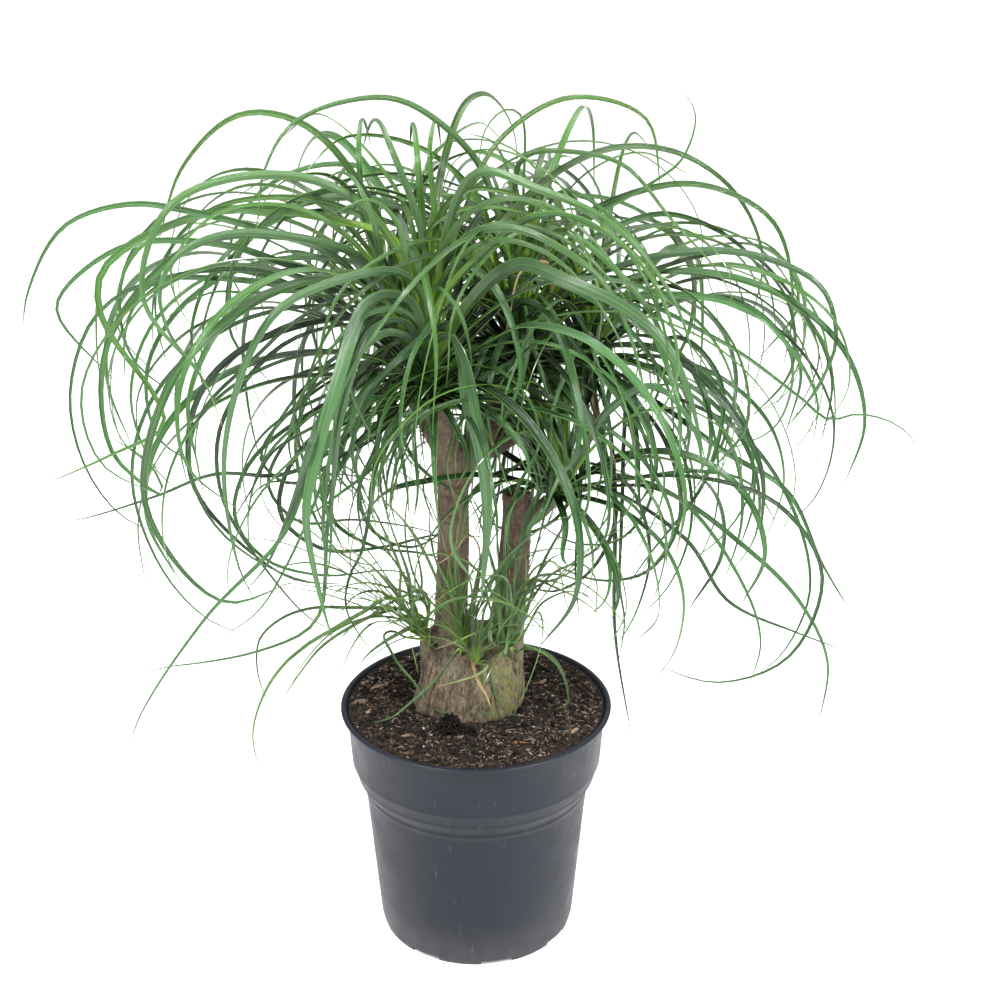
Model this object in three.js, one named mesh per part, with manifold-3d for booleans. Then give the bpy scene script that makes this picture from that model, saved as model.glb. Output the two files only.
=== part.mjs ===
// A potted ponytail palm: a round nursery pot, its peat, a forked trunk on a swollen base, five heads of long
// arching leaves and four tufts of young leaves on the base. All sizes are in millimetres. The origin is the
// centre of the pot's foot on the ground, +Z is up and -Y is the front.
import * as THREE from "three";
import { mergeVertices } from "three/addons/utils/BufferGeometryUtils.js";
import Module from "manifold-3d";

const wasm = await Module();
wasm.setup();

// Driving dimensions
const gap = 0.3; // between two pieces that touch
const roundSectors = 40; // flats round the pot and the soil
const rimRadius = 120;
const rimTop = 221.7;
const wall = 1.8;
const floorThick = 2;
const collarFoot = { radius: 110.8, z: 170.6 };
const collarTop = { radius: 114.6, z: 217.6 };
const notches = { count: 8, first: -77.4, wide: 28.6, tall: 4, from: 60, to: 92 };
const drainSlot = { long: 16, wide: 6, radius: 72 };
const lip = { wide: 4.6, innerFall: 0.3, topWall: 1.2 };
const soilEdge = { radius: 113.1, z: 218, mound: 1.4, bumps: 1.1 };
const bladeThick = 1.1;
const leafStretch = 66; // about how far apart a long leaf's sections are
const sproutPlaces = 6; // places along a tuft's leaf, its tip among them
const eye = new THREE.Vector3(21.3, -1571.3, 1099.7); // where the runs of the seen leaves were read from

// How the leaves are bent clear of one another: how many rounds, how often the close pairs are listed again and
// how far apart they may be, the room left between leaves of one head and of two, and the room round the pot
const bending = { rounds: 120, refresh: 10, reach: 45, ownShare: 0.9, ownClear: 1.2, clear: 1.7, potClear: 8 };

const up = new THREE.Vector3(0, 0, 1);
const toRadians = Math.PI / 180;

const materials = {
  pot: new THREE.MeshStandardMaterial({ color: 0x4b515a, roughness: 0.5, metalness: 0 }),
  soil: new THREE.MeshStandardMaterial({ color: 0x2e2119, roughness: 0.95, metalness: 0 }),
  bark: new THREE.MeshStandardMaterial({ color: 0x84725b, roughness: 0.9, metalness: 0 }),
  leaf: new THREE.MeshStandardMaterial({ color: 0x3d7a3f, roughness: 0.45, metalness: 0 }),
  sprout: new THREE.MeshStandardMaterial({ color: 0x5f9448, roughness: 0.5, metalness: 0 }),
};

// Each head sits on the end of its limb at base, and its axis points along lean. A limb's run ends there. The
// seen leaves come first, and the rule places the others, turned by turn. They part in front of the stems, by
// parting degrees to each side.
const heads = {
  crown_left: {
    base: [-32, -12, 505],
    lean: [-0.14, -0.2, 1],
    heart: 48,
    radius: 11,
    turn: 20,
    length: 1,
    parting: 44,
    rule: 29,
    limb: [[-19, 4, 430, 12], [-24, -2, 468, 11.5]],
  },
  crown_back: {
    base: [34, 52, 505],
    lean: [0.1, 0.1, 1],
    heart: 44,
    radius: 10.5,
    turn: 80,
    length: 0.9,
    parting: 14,
    rule: 30,
    limb: [[-18, 6, 425, 12], [0, 24, 460, 12], [24, 44, 486, 11]],
  },
  crown_rear_left: {
    base: [-62, 76, 500],
    lean: [-0.35, 0.4, 1],
    heart: 40,
    radius: 9.5,
    turn: 130,
    length: 0.9,
    parting: 0,
    rule: 30,
    limb: [[-20, 8, 424, 11], [-30, 36, 452, 10], [-48, 60, 480, 9.5]],
  },
  crown_right: {
    base: [91, 74, 502],
    lean: [0.4, 0.1, 1],
    heart: 34,
    radius: 9,
    turn: 10,
    length: 0.8,
    parting: 12,
    rule: 26,
    limb: [[2, 26, 448, 10], [28, 42, 457, 9.5], [58, 57, 467, 9], [80, 67, 483, 9]],
  },
  crown_low_right: {
    base: [64, -2, 416],
    lean: [0.7, -0.3, 1],
    heart: 26,
    radius: 7.5,
    turn: 50,
    length: 0.66,
    parting: 30,
    rule: 18,
    limb: [[36, 12, 386, 8.5], [52, 4, 402, 8]],
  },
};

// The leaves whose runs can be followed from the front. Each row holds the leaf's width, how far its middle
// and its tip lie on the near side of the pot's axis, and its run as right and up pairs seen from the eye.
const seenLeaves = {
  crown_left: [
    [11, 30, 20, [[-60, 640], [-90, 695], [-140, 740], [-185, 745], [-230, 705], [-255, 640]]],
    [9, 60, 80, [[-110, 630], [-165, 655], [-225, 670], [-275, 675], [-330, 655], [-365, 595], [-370, 560]]],
    [9, 0, -30, [[-90, 600], [-150, 620], [-200, 640], [-280, 640], [-335, 600], [-340, 580], [-295, 520]]],
    [12, 90, 130, [[-65, 650], [-115, 695], [-195, 695], [-245, 670], [-270, 595], [-225, 525], [-210, 480]]],
    [12, 60, 60, [[-60, 640], [-115, 660], [-210, 665], [-300, 620], [-305, 580], [-265, 510], [-260, 485],
      [-305, 460], [-370, 430]]],
    [10, 120, 150, [[-75, 620], [-115, 640], [-195, 650], [-235, 635], [-255, 605], [-250, 565], [-220, 525]]],
    [10, 40, 60, [[-80, 625], [-140, 645], [-225, 640], [-300, 560], [-305, 460], [-265, 420], [-275, 450],
      [-310, 475]]],
    [12, 130, 120, [[-75, 615], [-155, 605], [-210, 570], [-250, 525], [-280, 410], [-220, 320], [-155, 340]]],
    [10, 160, 170, [[-60, 605], [-90, 615], [-165, 580], [-210, 465], [-205, 355], [-190, 315]]],
    [9, -40, -60, [[-80, 575], [-165, 565], [-220, 525], [-240, 475], [-235, 420], [-165, 345], [-125, 335]]],
    [9, -20, -40, [[-75, 590], [-115, 600], [-210, 615], [-265, 605], [-285, 570], [-290, 520]]],
    [11, 180, 150, [[-75, 590], [-100, 555], [-130, 475], [-160, 390], [-235, 305], [-305, 195], [-310, 160]]],
    [13, 170, 200, [[-60, 595], [-90, 590], [-115, 520], [-140, 435], [-145, 400], [-135, 325], [-125, 280]]],
    [9, 150, 170, [[-55, 580], [-85, 570], [-110, 500], [-120, 435], [-125, 365], [-130, 335]]],
    [14, 90, 110, [[-30, 560], [-18, 562], [-5, 500], [5, 460], [10, 400], [5, 320]]],
    [7, 60, 75, [[-34, 590], [-25, 605], [-12, 590], [-5, 555], [-5, 510]]],
    [12, 120, 160, [[-20, 640], [5, 700], [55, 685], [100, 665], [130, 640], [165, 590], [185, 530]]],
    [11, 110, 150, [[-15, 610], [5, 640], [40, 645], [70, 630], [105, 600], [130, 545], [145, 490]]],
    [13, 140, 190, [[-10, 600], [35, 635], [80, 620], [125, 595], [155, 565], [175, 525], [195, 450]]],
    [9, 0, -20, [[-60, 640], [-115, 675], [-195, 675], [-235, 650], [-260, 600], [-265, 550]]],
    [12, 30, -80, [[-40, 600], [-41, 660], [-44, 705], [-46, 733], [-48, 738], [-50, 720]]],
    [11, 45, -70, [[-50, 625], [-60, 675], [-67, 715], [-74, 735], [-82, 738], [-90, 715]]],
    [10, 0, -100, [[-25, 630], [-30, 675], [-34, 715], [-31, 738], [-28, 740], [-25, 718]]],
    [10, 5, -90, [[-65, 635], [-80, 675], [-86, 712], [-86, 735], [-84, 740], [-80, 722]]],
    [10, 60, 0, [[-60, 625], [-75, 655], [-90, 685], [-104, 700], [-118, 695]]],
    [7, 90, 110, [[-35, 550], [-60, 595], [-75, 605], [-90, 595], [-100, 550], [-115, 490], [-125, 435],
      [-130, 380], [-125, 330]]],
    [6, 30, 20, [[-70, 570], [-150, 560], [-210, 490], [-215, 420], [-180, 350], [-140, 300], [-110, 290]]],
  ],
  crown_back: [
    [10, 20, 60, [[22, 665], [0, 715], [-50, 760], [-85, 765], [-140, 745], [-165, 705], [-175, 650]]],
    [4, -60, -60, [[80, 650], [140, 690], [165, 710], [175, 745], [165, 765]]],
    [9, -80, -90, [[75, 650], [120, 680], [180, 690], [240, 660], [260, 595], [255, 530]]],
    [10, -20, 20, [[80, 610], [130, 630], [180, 635], [240, 625], [285, 600], [300, 555], [285, 515], [260, 480]]],
    [10, -30, 0, [[70, 590], [145, 600], [200, 595], [240, 575], [285, 510], [285, 470]]],
    [10, 20, 60, [[40, 630], [70, 650], [120, 615], [150, 575], [170, 510], [170, 460]]],
    [9, -20, 0, [[30, 680], [40, 710], [75, 715], [120, 705], [160, 660], [200, 615], [215, 585]]],
    [8, -110, -130, [[70, 620], [120, 655], [160, 665], [210, 645], [240, 610], [250, 560]]],
    [12, 60, 100, [[38, 590], [52, 592], [75, 550], [85, 500], [85, 460], [70, 435], [55, 395]]],
    [10, 0, 60, [[40, 575], [30, 545], [0, 525], [-30, 505], [-50, 470]]],
    [6, -130, -160, [[90, 600], [215, 635], [250, 610], [280, 565], [285, 540], [265, 485]]],
    [4, -10, 10, [[100, 600], [200, 560], [270, 510], [295, 490], [320, 495], [355, 485], [385, 455]]],
    [9, 30, 60, [[30, 560], [18, 535], [12, 500], [16, 460]]],
    [8, 10, 50, [[48, 575], [52, 545], [46, 500], [50, 450]]],
    [8, 0, 40, [[58, 575], [76, 545], [86, 500], [80, 440]]],
    [8, 30, 45, [[26, 560], [8, 545], [-4, 510], [-6, 470]]],
  ],
  crown_right: [
    [8, -40, -20, [[150, 500], [210, 460], [265, 425], [300, 355], [330, 305]]],
    [7, -20, 0, [[120, 540], [170, 560], [205, 520], [195, 435], [150, 365], [125, 325]]],
    [6, -30, -20, [[110, 500], [118, 450], [120, 380], [122, 290], [140, 180]]],
    [8, 10, 40, [[90, 560], [72, 545], [60, 505], [58, 455]]],
    [8, -10, 20, [[108, 560], [114, 535], [108, 480], [112, 425]]],
  ],
  crown_low_right: [
    [9, 30, 30, [[110, 432], [195, 435], [260, 410], [300, 345], [275, 265], [215, 240], [150, 260]]],
    [7, 0, 0, [[150, 430], [240, 365], [285, 315], [310, 260], [305, 190]]],
    [9, 60, 90, [[95, 460], [115, 500], [150, 520], [185, 480], [195, 420]]],
    [6, 0, 20, [[105, 430], [150, 435], [190, 440], [230, 430], [260, 390]]],
  ],
  sprout_left: [[4, 40, 90, [[-70, 320], [-100, 295], [-155, 270], [-185, 235], [-200, 185], [-195, 145]]]],
};

// Each tuft stands in a shallow socket in the base's skin at place, and points along lean.
const tufts = {
  sprout_left: {
    place: [-38, -8, 282],
    lean: [-0.7, -0.4, 0.85],
    radius: 4.2,
    turn: 15,
    length: 190,
    rule: 9,
  },
  sprout_front: {
    place: [-9, -17, 277],
    lean: [-0.25, -0.3, 1],
    radius: 3.8,
    turn: 80,
    length: 165,
    rule: 8,
  },
  sprout_front_low: {
    place: [-1, -23, 268],
    lean: [0.1, -0.6, 0.9],
    radius: 3.2,
    turn: 200,
    length: 120,
    rule: 5,
  },
  sprout_right: {
    place: [25, -9, 276],
    lean: [0.2, -0.35, 1],
    radius: 4,
    turn: 120,
    length: 180,
    rule: 7,
  },
};

// Rings of the swollen base: height, centre x and y, half width and half depth. The first three are buried.
const baseRings = [
  [146, -9, 1, 26, 23],
  [154, -9, 1, 39, 34],
  [182, -10, 1, 49, 40],
  [204, -10, 1, 51, 41.5],
  [222, -7, 1, 49, 40],
  [248, -4, 1, 46, 36],
  [266, -4, 2, 42, 31],
  [279, -4, 2, 34, 24],
  [290, -3, 3, 22, 15],
  [297, -3, 4, 10, 7],
];
const holeTop = 226; // the hole that the base stands in is open to here

// Stems and cut stubs: a run of centre points, each with its radius.
const stems = {
  left: [
    [-16, 4, 234, 24],
    [-20, 4, 254, 20],
    [-21, 4, 280, 17],
    [-21, 5, 305, 15],
    [-19, 5, 380, 14],
    [-19, 4, 440, 13.5],
    [-20, 4, 462, 12],
  ],
  right: [
    [22, 4, 234, 19],
    [26, 4, 254, 17],
    [27, 5, 280, 16],
    [29, 7, 305, 15.5],
    [33, 9, 350, 13.8],
    [36, 10, 400, 13.2],
    [35, 10, 420, 12.5],
  ],
  leftStub: [
    [-37, 0, 250, 12],
    [-40, -1, 280, 10.5],
    [-41, -1, 293, 8.5],
  ],
  middleStub: [
    [8, -8, 246, 13],
    [9, -12, 268, 10],
    [9, -13, 276, 8],
  ],
  crotch: [
    [4, 4, 248, 22],
    [5, 4, 280, 14],
    [6, 5, 299, 7],
  ],
};

// Random numbers that come out the same on every run
let drawState = 20417;
function draw(low, high) {
  drawState = (drawState * 1664525 + 1013904223) % 4294967296;
  return low + (high - low) * (drawState / 4294967296);
}

// The value at t of a line through the stops, each a pair of place and value.
function along(t, stops) {
  let [before, value] = stops[0];
  for (const [place, next] of stops) {
    if (t <= place && place > before) return value + ((next - value) * (t - before)) / (place - before);
    [before, value] = [place, next];
  }
  return value;
}

// How a leaf changes along itself, and how the leaves of a head change from the oldest, 0, to the youngest, 1:
// the share of its full width, its start angle, how far it falls over, its length, and how late its fall comes
const leafWidths = [[0, 0.6], [0.12, 1], [0.55, 0.9], [0.8, 0.62], [1, 0.2]];
const startAngles = [[0, 10], [0.4, 48], [0.75, 70], [1, 82]];
const falls = [[0, 118], [0.45, 200], [0.9, 210], [1, 120]];
const lengths = [[0, 400], [0.4, 515], [0.8, 490], [0.92, 400], [1, 250]];
const powers = [[0, 1.1], [0.8, 1.3], [1, 2.6]];
const frontReach = 80 * toRadians; // leaves this near the front sweep away from it

// Two vectors across a direction: the first lies level.
function across(direction) {
  const side = new THREE.Vector3().crossVectors(direction, up);
  if (side.length() < 1e-4) side.set(1, 0, 0);
  side.normalize();
  return [side, new THREE.Vector3().crossVectors(side, direction).normalize()];
}

// A closed skin over rings of points, which run counter-clockwise seen from the far end. A last ring of one
// point makes a tip.
function loft(rings) {
  const corners = [];
  const faces = [];
  const firsts = rings.map((ring) => {
    const first = corners.length / 3;
    ring.forEach((point) => corners.push(point.x, point.y, point.z));
    return first;
  });
  const sides = rings[0].length;
  for (let r = 0; r < rings.length - 1; r++) {
    for (let i = 0; i < sides; i++) {
      const here = firsts[r] + i;
      const beside = firsts[r] + ((i + 1) % sides);
      if (rings[r + 1].length === 1) {
        faces.push(here, beside, firsts[r + 1]);
      } else {
        const nextHere = firsts[r + 1] + i;
        const nextBeside = firsts[r + 1] + ((i + 1) % sides);
        faces.push(here, beside, nextBeside, here, nextBeside, nextHere);
      }
    }
  }
  for (let i = 1; i < sides - 1; i++) {
    faces.push(firsts[0], firsts[0] + i + 1, firsts[0] + i);
    if (rings.at(-1).length > 1) faces.push(firsts.at(-1), firsts.at(-1) + i, firsts.at(-1) + i + 1);
  }
  const geometry = new THREE.BufferGeometry();
  geometry.setAttribute("position", new THREE.Float32BufferAttribute(corners, 3));
  geometry.setIndex(faces);
  return geometry;
}

function solidOf(geometry) {
  const bare = geometry.clone();
  bare.deleteAttribute("normal");
  bare.deleteAttribute("uv");
  const merged = mergeVertices(bare, 1e-4);
  const triVerts = [];
  for (let i = 0; i < merged.index.count; i += 3) {
    const [a, b, c] = [0, 1, 2].map((k) => merged.index.getX(i + k));
    if (a !== b && b !== c && c !== a) triVerts.push(a, b, c);
  }
  const vertProperties = new Float32Array(merged.attributes.position.array);
  const mesh = new wasm.Mesh({ numProp: 3, vertProperties, triVerts: new Uint32Array(triVerts) });
  return new wasm.Manifold(mesh);
}

function meshOf(name, solid, material) {
  const { numProp, vertProperties, triVerts } = solid.getMesh();
  const corners = vertProperties.filter((_, i) => i % numProp < 3);
  const geometry = new THREE.BufferGeometry();
  geometry.setAttribute("position", new THREE.Float32BufferAttribute(corners, 3));
  geometry.setIndex(Array.from(triVerts));
  const mesh = new THREE.Mesh(geometry, material);
  mesh.name = name;
  return mesh;
}

function turned(profile) {
  const points = profile.map(([radius, z]) => new THREE.Vector2(radius, z));
  return new THREE.LatheGeometry(points, roundSectors).rotateX(Math.PI / 2);
}

// A box that lies along a spoke of the pot, for the drain channels under its floor.
function spokeBox(index, from, to, wide, bottom, top) {
  const box = new THREE.BoxGeometry(to - from, wide, top - bottom);
  box.translate((from + to) / 2, 0, (bottom + top) / 2);
  box.rotateZ((notches.first + (index * 360) / notches.count) * toRadians);
  return solidOf(box);
}

const innerWall = [
  [86.4 - wall, floorThick],
  [92.7 - wall, 62.3],
  [98 - wall, 122.8],
  [100.9 - wall, 145.8],
  [105.8 - wall, 154],
  [109 - wall, 163],
  [collarFoot.radius - wall, collarFoot.z],
  [collarTop.radius - lip.topWall, collarTop.z - 0.2],
];

function makePot() {
  const outside = [
    [0, 0],
    [84.4, 0],
    [85.6, 1],
    [88, 10],
    [92.7, 62.3],
    [98, 122.8],
    [100.9, 145.8],
    [105.8, 154],
    [109, 163],
    [collarFoot.radius, collarFoot.z],
    [collarTop.radius, collarTop.z],
    [rimRadius - 0.6, collarTop.z + 0.4],
    [rimRadius, collarTop.z + 1.6],
    [rimRadius - 1, rimTop],
    [rimRadius - lip.wide, rimTop - lip.innerFall],
  ];
  let pot = solidOf(turned([...outside, ...innerWall.toReversed(), [0, floorThick]]));
  const roof = notches.tall + floorThick;
  const foot = solidOf(turned([[0, 0], [84, 0], [85.3, floorThick], [85.6, roof], [0, roof]]));
  for (let i = 0; i < notches.count; i++) {
    const housing = spokeBox(i, notches.from - wall, notches.to, notches.wide + 2 * wall, 0, roof);
    pot = pot.add(housing.intersect(foot));
    pot = pot.subtract(spokeBox(i, notches.from, notches.to, notches.wide, -1, notches.tall));
    const slotEnds = [drainSlot.radius - drainSlot.wide / 2, drainSlot.radius + drainSlot.wide / 2];
    pot = pot.subtract(spokeBox(i, ...slotEnds, drainSlot.long, notches.tall - 1, roof + 1));
  }
  return pot;
}

// The base's skin at a ring, a little in and out where the bark is folded; grown widens it for its hole.
function baseRing([z, centreX, centreY, halfWidth, halfDepth], grown) {
  const sectors = 22;
  return Array.from({ length: sectors }, (_, i) => {
    const angle = (i * 2 * Math.PI) / sectors;
    const fold = z < holeTop ? 1 : 1 + 0.03 * Math.sin(5 * angle + z / 17) + 0.02 * Math.cos(11 * angle);
    const x = centreX + (halfWidth * fold + grown) * Math.cos(angle);
    const y = centreY + (halfDepth * fold + grown) * Math.sin(angle);
    return new THREE.Vector3(x, y, z);
  });
}

function makeSoil() {
  const side = innerWall.slice(0, -1).map(([radius, z]) => [radius - gap, Math.max(z, floorThick + gap)]);
  const inward = [98, 78, 58].map((radius) => [radius, soilEdge.z]);
  const profile = [[0, floorThick + gap], ...side, [soilEdge.radius, soilEdge.z], ...inward, [0, soilEdge.z]];
  const shape = turned(profile);
  const places = shape.attributes.position;
  for (let i = 0; i < places.count; i++) {
    const [x, y, z] = [places.getX(i), places.getY(i), places.getZ(i)];
    const inside = 1 - Math.hypot(x, y) / 112;
    if (z < soilEdge.z - 1 || inside < 0.02) continue;
    const waves = Math.sin(x / 9) * Math.cos(y / 11) + 0.7 * Math.sin((x + y) / 5.3);
    const bump = soilEdge.bumps * waves * Math.min(1, 6 * inside);
    places.setZ(i, z + soilEdge.mound * Math.min(1, 2 * inside) + bump);
  }
  let soil = solidOf(shape);
  const holeRings = baseRings.filter(([z]) => z <= holeTop).map((ring) => baseRing(ring, gap));
  holeRings[0].forEach((point) => (point.z -= gap));
  const mouth = holeRings.at(-1).map(({ x, y, z }) => new THREE.Vector3(x, y, z + 20));
  soil = soil.subtract(solidOf(loft([...holeRings, mouth])));
  const wide = notches.wide + 2 * (wall + gap);
  const roof = notches.tall + floorThick + gap;
  for (let i = 0; i < notches.count; i++) {
    soil = soil.subtract(spokeBox(i, notches.from - wall - gap, notches.to, wide, 0, roof));
  }
  return soil;
}

// Every run of wood, with the direction that its end is square to where a head sits on it.
const woodRuns = [
  ...Object.values(stems).map((run) => ({ run })),
  ...Object.values(heads).map(({ limb, base, radius, lean }) => ({
    run: [...limb, [...base, radius]],
    end: lean,
  })),
];

// A stem through centre points with radii.
function stemSolid({ run, end }, sectors) {
  const centres = run.map(([x, y, z]) => new THREE.Vector3(x, y, z));
  const rings = centres.map((centre, i) => {
    const before = centres[Math.max(0, i - 1)];
    const after = centres[Math.min(centres.length - 1, i + 1)];
    const last = i === centres.length - 1;
    const direction = new THREE.Vector3().subVectors(after, before);
    if (last && end) direction.set(...end);
    direction.normalize();
    const side = new THREE.Vector3(1, 0, 0);
    side.addScaledVector(direction, -side.dot(direction)).normalize();
    const other = new THREE.Vector3().crossVectors(direction, side);
    return Array.from({ length: sectors }, (_, k) => {
      const angle = (k * 2 * Math.PI) / sectors;
      const radius = run[i][3] * (last ? 1 : 1 + 0.05 * Math.sin(3 * angle + i * 1.7));
      return centre
        .clone()
        .addScaledVector(side, radius * Math.cos(angle))
        .addScaledVector(other, radius * Math.sin(angle));
    });
  });
  return solidOf(loft(rings));
}

// A tuft's foot: a short peg that widens a little from its buried end.
function tuftFoot({ place, lean, radius }, grown) {
  const direction = new THREE.Vector3(...lean).normalize();
  const [side, other] = across(direction);
  const foot = new THREE.Vector3(...place);
  return [
    [-8 - grown, 0.8],
    [6, 1],
    [16, 0.5],
  ].map(([height, share]) =>
    [0, 1, 2, 3, 4, 5].map((k) => {
      const angle = (-k * Math.PI) / 3;
      const reach = radius * share + grown;
      return foot
        .clone()
        .addScaledVector(direction, height)
        .addScaledVector(side, reach * Math.cos(angle))
        .addScaledVector(other, reach * Math.sin(angle));
    }),
  );
}

function makeTrunk() {
  let trunk = solidOf(loft(baseRings.map((ring) => baseRing(ring, 0))));
  for (const wood of woodRuns) trunk = trunk.add(stemSolid(wood, 12));
  for (const tuft of Object.values(tufts)) trunk = trunk.subtract(solidOf(loft(tuftFoot(tuft, gap))));
  return trunk;
}

// Evenly spaced places along a smooth line through the points.
function evenly(points) {
  const curve = new THREE.CatmullRomCurve3(points);
  return curve.getSpacedPoints(stretchCount(curve.getLength()));
}

const stretchCount = (length) => Math.max(5, Math.round(length / leafStretch));

// Where a leaf starts: inside the heart, on the side that it leaves from.
function rootOf(head, age, azimuth) {
  const direction = new THREE.Vector3(...head.lean).normalize();
  const height = 8 + (head.heart - 12) * age;
  const inset = 0.5 * head.radius * (1 - 0.6 * age);
  const out = new THREE.Vector3(Math.cos(azimuth), Math.sin(azimuth), 0);
  return new THREE.Vector3(...head.base).addScaledVector(direction, height).addScaledVector(out, inset);
}

// A leaf that follows the rule: it leaves at its start angle and falls over further and further. Oldest
// leaves, at the bottom of the head, start low, and the youngest stand up in its middle.
function ruleRun(head, age, turned, size) {
  const half = Math.PI / 2;
  const fromFront = turned + half - 4 * half * Math.round((turned + half) / (4 * half));
  const gapAngle = head.parting * toRadians * (1 - 0.6 * age);
  const off = Math.sign(fromFront) * (gapAngle + Math.abs(fromFront) * (1 - gapAngle / Math.PI));
  const azimuth = off - half;
  const leanAway = Math.atan2(head.lean[1], head.lean[0]);
  const tilt = 24 * Math.hypot(head.lean[0], head.lean[1]) * Math.cos(azimuth - leanAway);
  const start = along(age, startAngles) + draw(-3, 3) - tilt;
  const fall = along(age, falls) * draw(0.82, 1.12);
  const power = along(age, powers) + draw(-0.1, 0.25);
  let sweep = draw(-38, 38) * toRadians;
  if (Math.abs(off) < frontReach) sweep = Math.sign(off) * Math.abs(sweep);
  const front = Math.max(0, -Math.sin(azimuth)) * (1 - age);
  const length = along(age, lengths) * size * draw(0.86, 1.04) * (1 - 0.5 * front);
  const steps = 4 * stretchCount(length);
  const point = rootOf(head, age, azimuth);
  const run = [point.clone()];
  for (let i = 0; i < steps; i++) {
    const s = (i + 0.5) / steps;
    const rise = (start - fall * s ** power) * toRadians;
    const heading = azimuth + sweep * s * s;
    point.x += (Math.cos(rise) * Math.cos(heading) * length) / steps;
    point.y += (Math.cos(rise) * Math.sin(heading) * length) / steps;
    point.z += (Math.sin(rise) * length) / steps;
    if (i % 4 === 3) run.push(point.clone());
  }
  return run;
}

function seenRun(head, [, middle, tip, pairs]) {
  const nearPlane = (right, height, near) => {
    const point = new THREE.Vector3(right, 0, height);
    return point.addScaledVector(new THREE.Vector3().subVectors(eye, point).normalize(), near);
  };
  const nears = [[0, -head.base[1]], [0.5, middle], [1, tip]];
  const points = pairs.map(([right, height], i) => {
    return nearPlane(right, height, along((i + 1) / pairs.length, nears));
  });
  const outward = points[0].clone().sub(new THREE.Vector3(...head.base));
  const level = Math.hypot(outward.x, outward.y);
  const angle = Math.atan2(outward.z - head.heart * 0.6, level) / toRadians;
  const age = Math.min(0.95, Math.max(0.1, angle / 90));
  return evenly([rootOf(head, age, Math.atan2(outward.y, outward.x)), ...points]);
}

function growLeaves() {
  const leaves = [];
  for (const [node, head] of Object.entries(heads)) {
    for (const row of seenLeaves[node] ?? []) {
      leaves.push({ node, width: row[0], run: seenRun(head, row) });
    }
    for (let i = 0; i < head.rule; i++) {
      const age = i / (head.rule - 1);
      const azimuth = (head.turn + i * 137.508 + draw(-9, 9)) * toRadians;
      const width = (10.6 - 2 * age) * draw(0.55, 1.02);
      leaves.push({ node, width, run: ruleRun(head, age, azimuth, head.length) });
    }
  }
  for (const [node, tuft] of Object.entries(tufts)) {
    const head = { base: tuft.place, lean: tuft.lean, heart: 14, radius: tuft.radius };
    for (const row of seenLeaves[node] ?? []) {
      leaves.push({ node, width: row[0], run: seenRun(head, row) });
    }
    for (let i = 0; i < tuft.rule; i++) {
      const age = 0.25 + (0.6 * i) / (tuft.rule - 1);
      const azimuth = (tuft.turn + i * 137.508) * toRadians;
      const size = (tuft.length / 545) * draw(0.8, 1.15);
      leaves.push({ node, width: draw(2.6, 3.6), run: tuftRun(head, age, azimuth, size) });
    }
  }
  return leaves;
}

// A young leaf of a tuft: it leaves along the tuft's lean, fans out and bows over at its end.
function tuftRun(head, age, azimuth, size) {
  const outward = new THREE.Vector3(...head.lean).normalize();
  const fan = new THREE.Vector3(Math.cos(azimuth), Math.sin(azimuth), 0.35);
  const direction = outward.clone().multiplyScalar(0.9).addScaledVector(fan, 0.55 * (1.2 - age));
  direction.addScaledVector(up, 0.9 * age).normalize();
  const length = 545 * size;
  const droop = draw(0.4, 1.3);
  const steps = 4 * (sproutPlaces - 1);
  const point = new THREE.Vector3(...head.base).addScaledVector(outward, 3 + 9 * age);
  const run = [point.clone()];
  for (let i = 0; i < steps; i++) {
    point.addScaledVector(direction, length / steps);
    direction.addScaledVector(up, (-droop * 2 * (i + 1)) / (steps * steps)).normalize();
    if (i % 4 === 3) run.push(point.clone());
  }
  return run;
}

const localWidth = (leaf, i) => leaf.width * along(i / (leaf.run.length - 1), leafWidths);

// How far along each of two stretches their nearest points lie, from 0 to 1.
function nearestShares(a, b, c, d) {
  const first = new THREE.Vector3().subVectors(b, a);
  const second = new THREE.Vector3().subVectors(d, c);
  const between = new THREE.Vector3().subVectors(a, c);
  const [ff, ss, fs] = [first.lengthSq(), second.lengthSq(), first.dot(second)];
  const [fb, sb] = [first.dot(between), second.dot(between)];
  const clamp = (value) => Math.min(1, Math.max(0, value));
  const spread = ff * ss - fs * fs;
  let s = spread > 1e-9 ? clamp((fs * sb - fb * ss) / spread) : 0;
  let t = (fs * s + sb) / ss;
  if (t < 0 || t > 1) {
    t = clamp(t);
    s = clamp((fs * t - fb) / ff);
  }
  return [s, t];
}

// Bends the leaves a little so that those of different heads, the stems and the pot all clear one another, and
// those of one head seldom cross. Each round pushes every pair that is too close apart, and then spreads the
// push to the places beside it, so that the arcs stay smooth. The root of a leaf stays where it is.
function bendClear(leaves) {
  const stretches = leaves.flatMap((leaf) =>
    leaf.run.slice(1).map((_, i) => ({ leaf, i, half: localWidth(leaf, i) / 2 })),
  );
  const woods = woodCapsules();
  let pairs = [];
  for (let round = 0; round < bending.rounds; round++) {
    if (round % bending.refresh === 0) pairs = closePairs(stretches);
    leaves.forEach((leaf) => {
      leaf.push = leaf.run.map(() => new THREE.Vector3());
    });
    pairs.forEach(([one, other]) => pushPair(one, other));
    stretches.forEach((one) => woods.forEach((wood) => pushOffWood(one, wood)));
    leaves.forEach(moveLeaf);
  }
}

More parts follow.
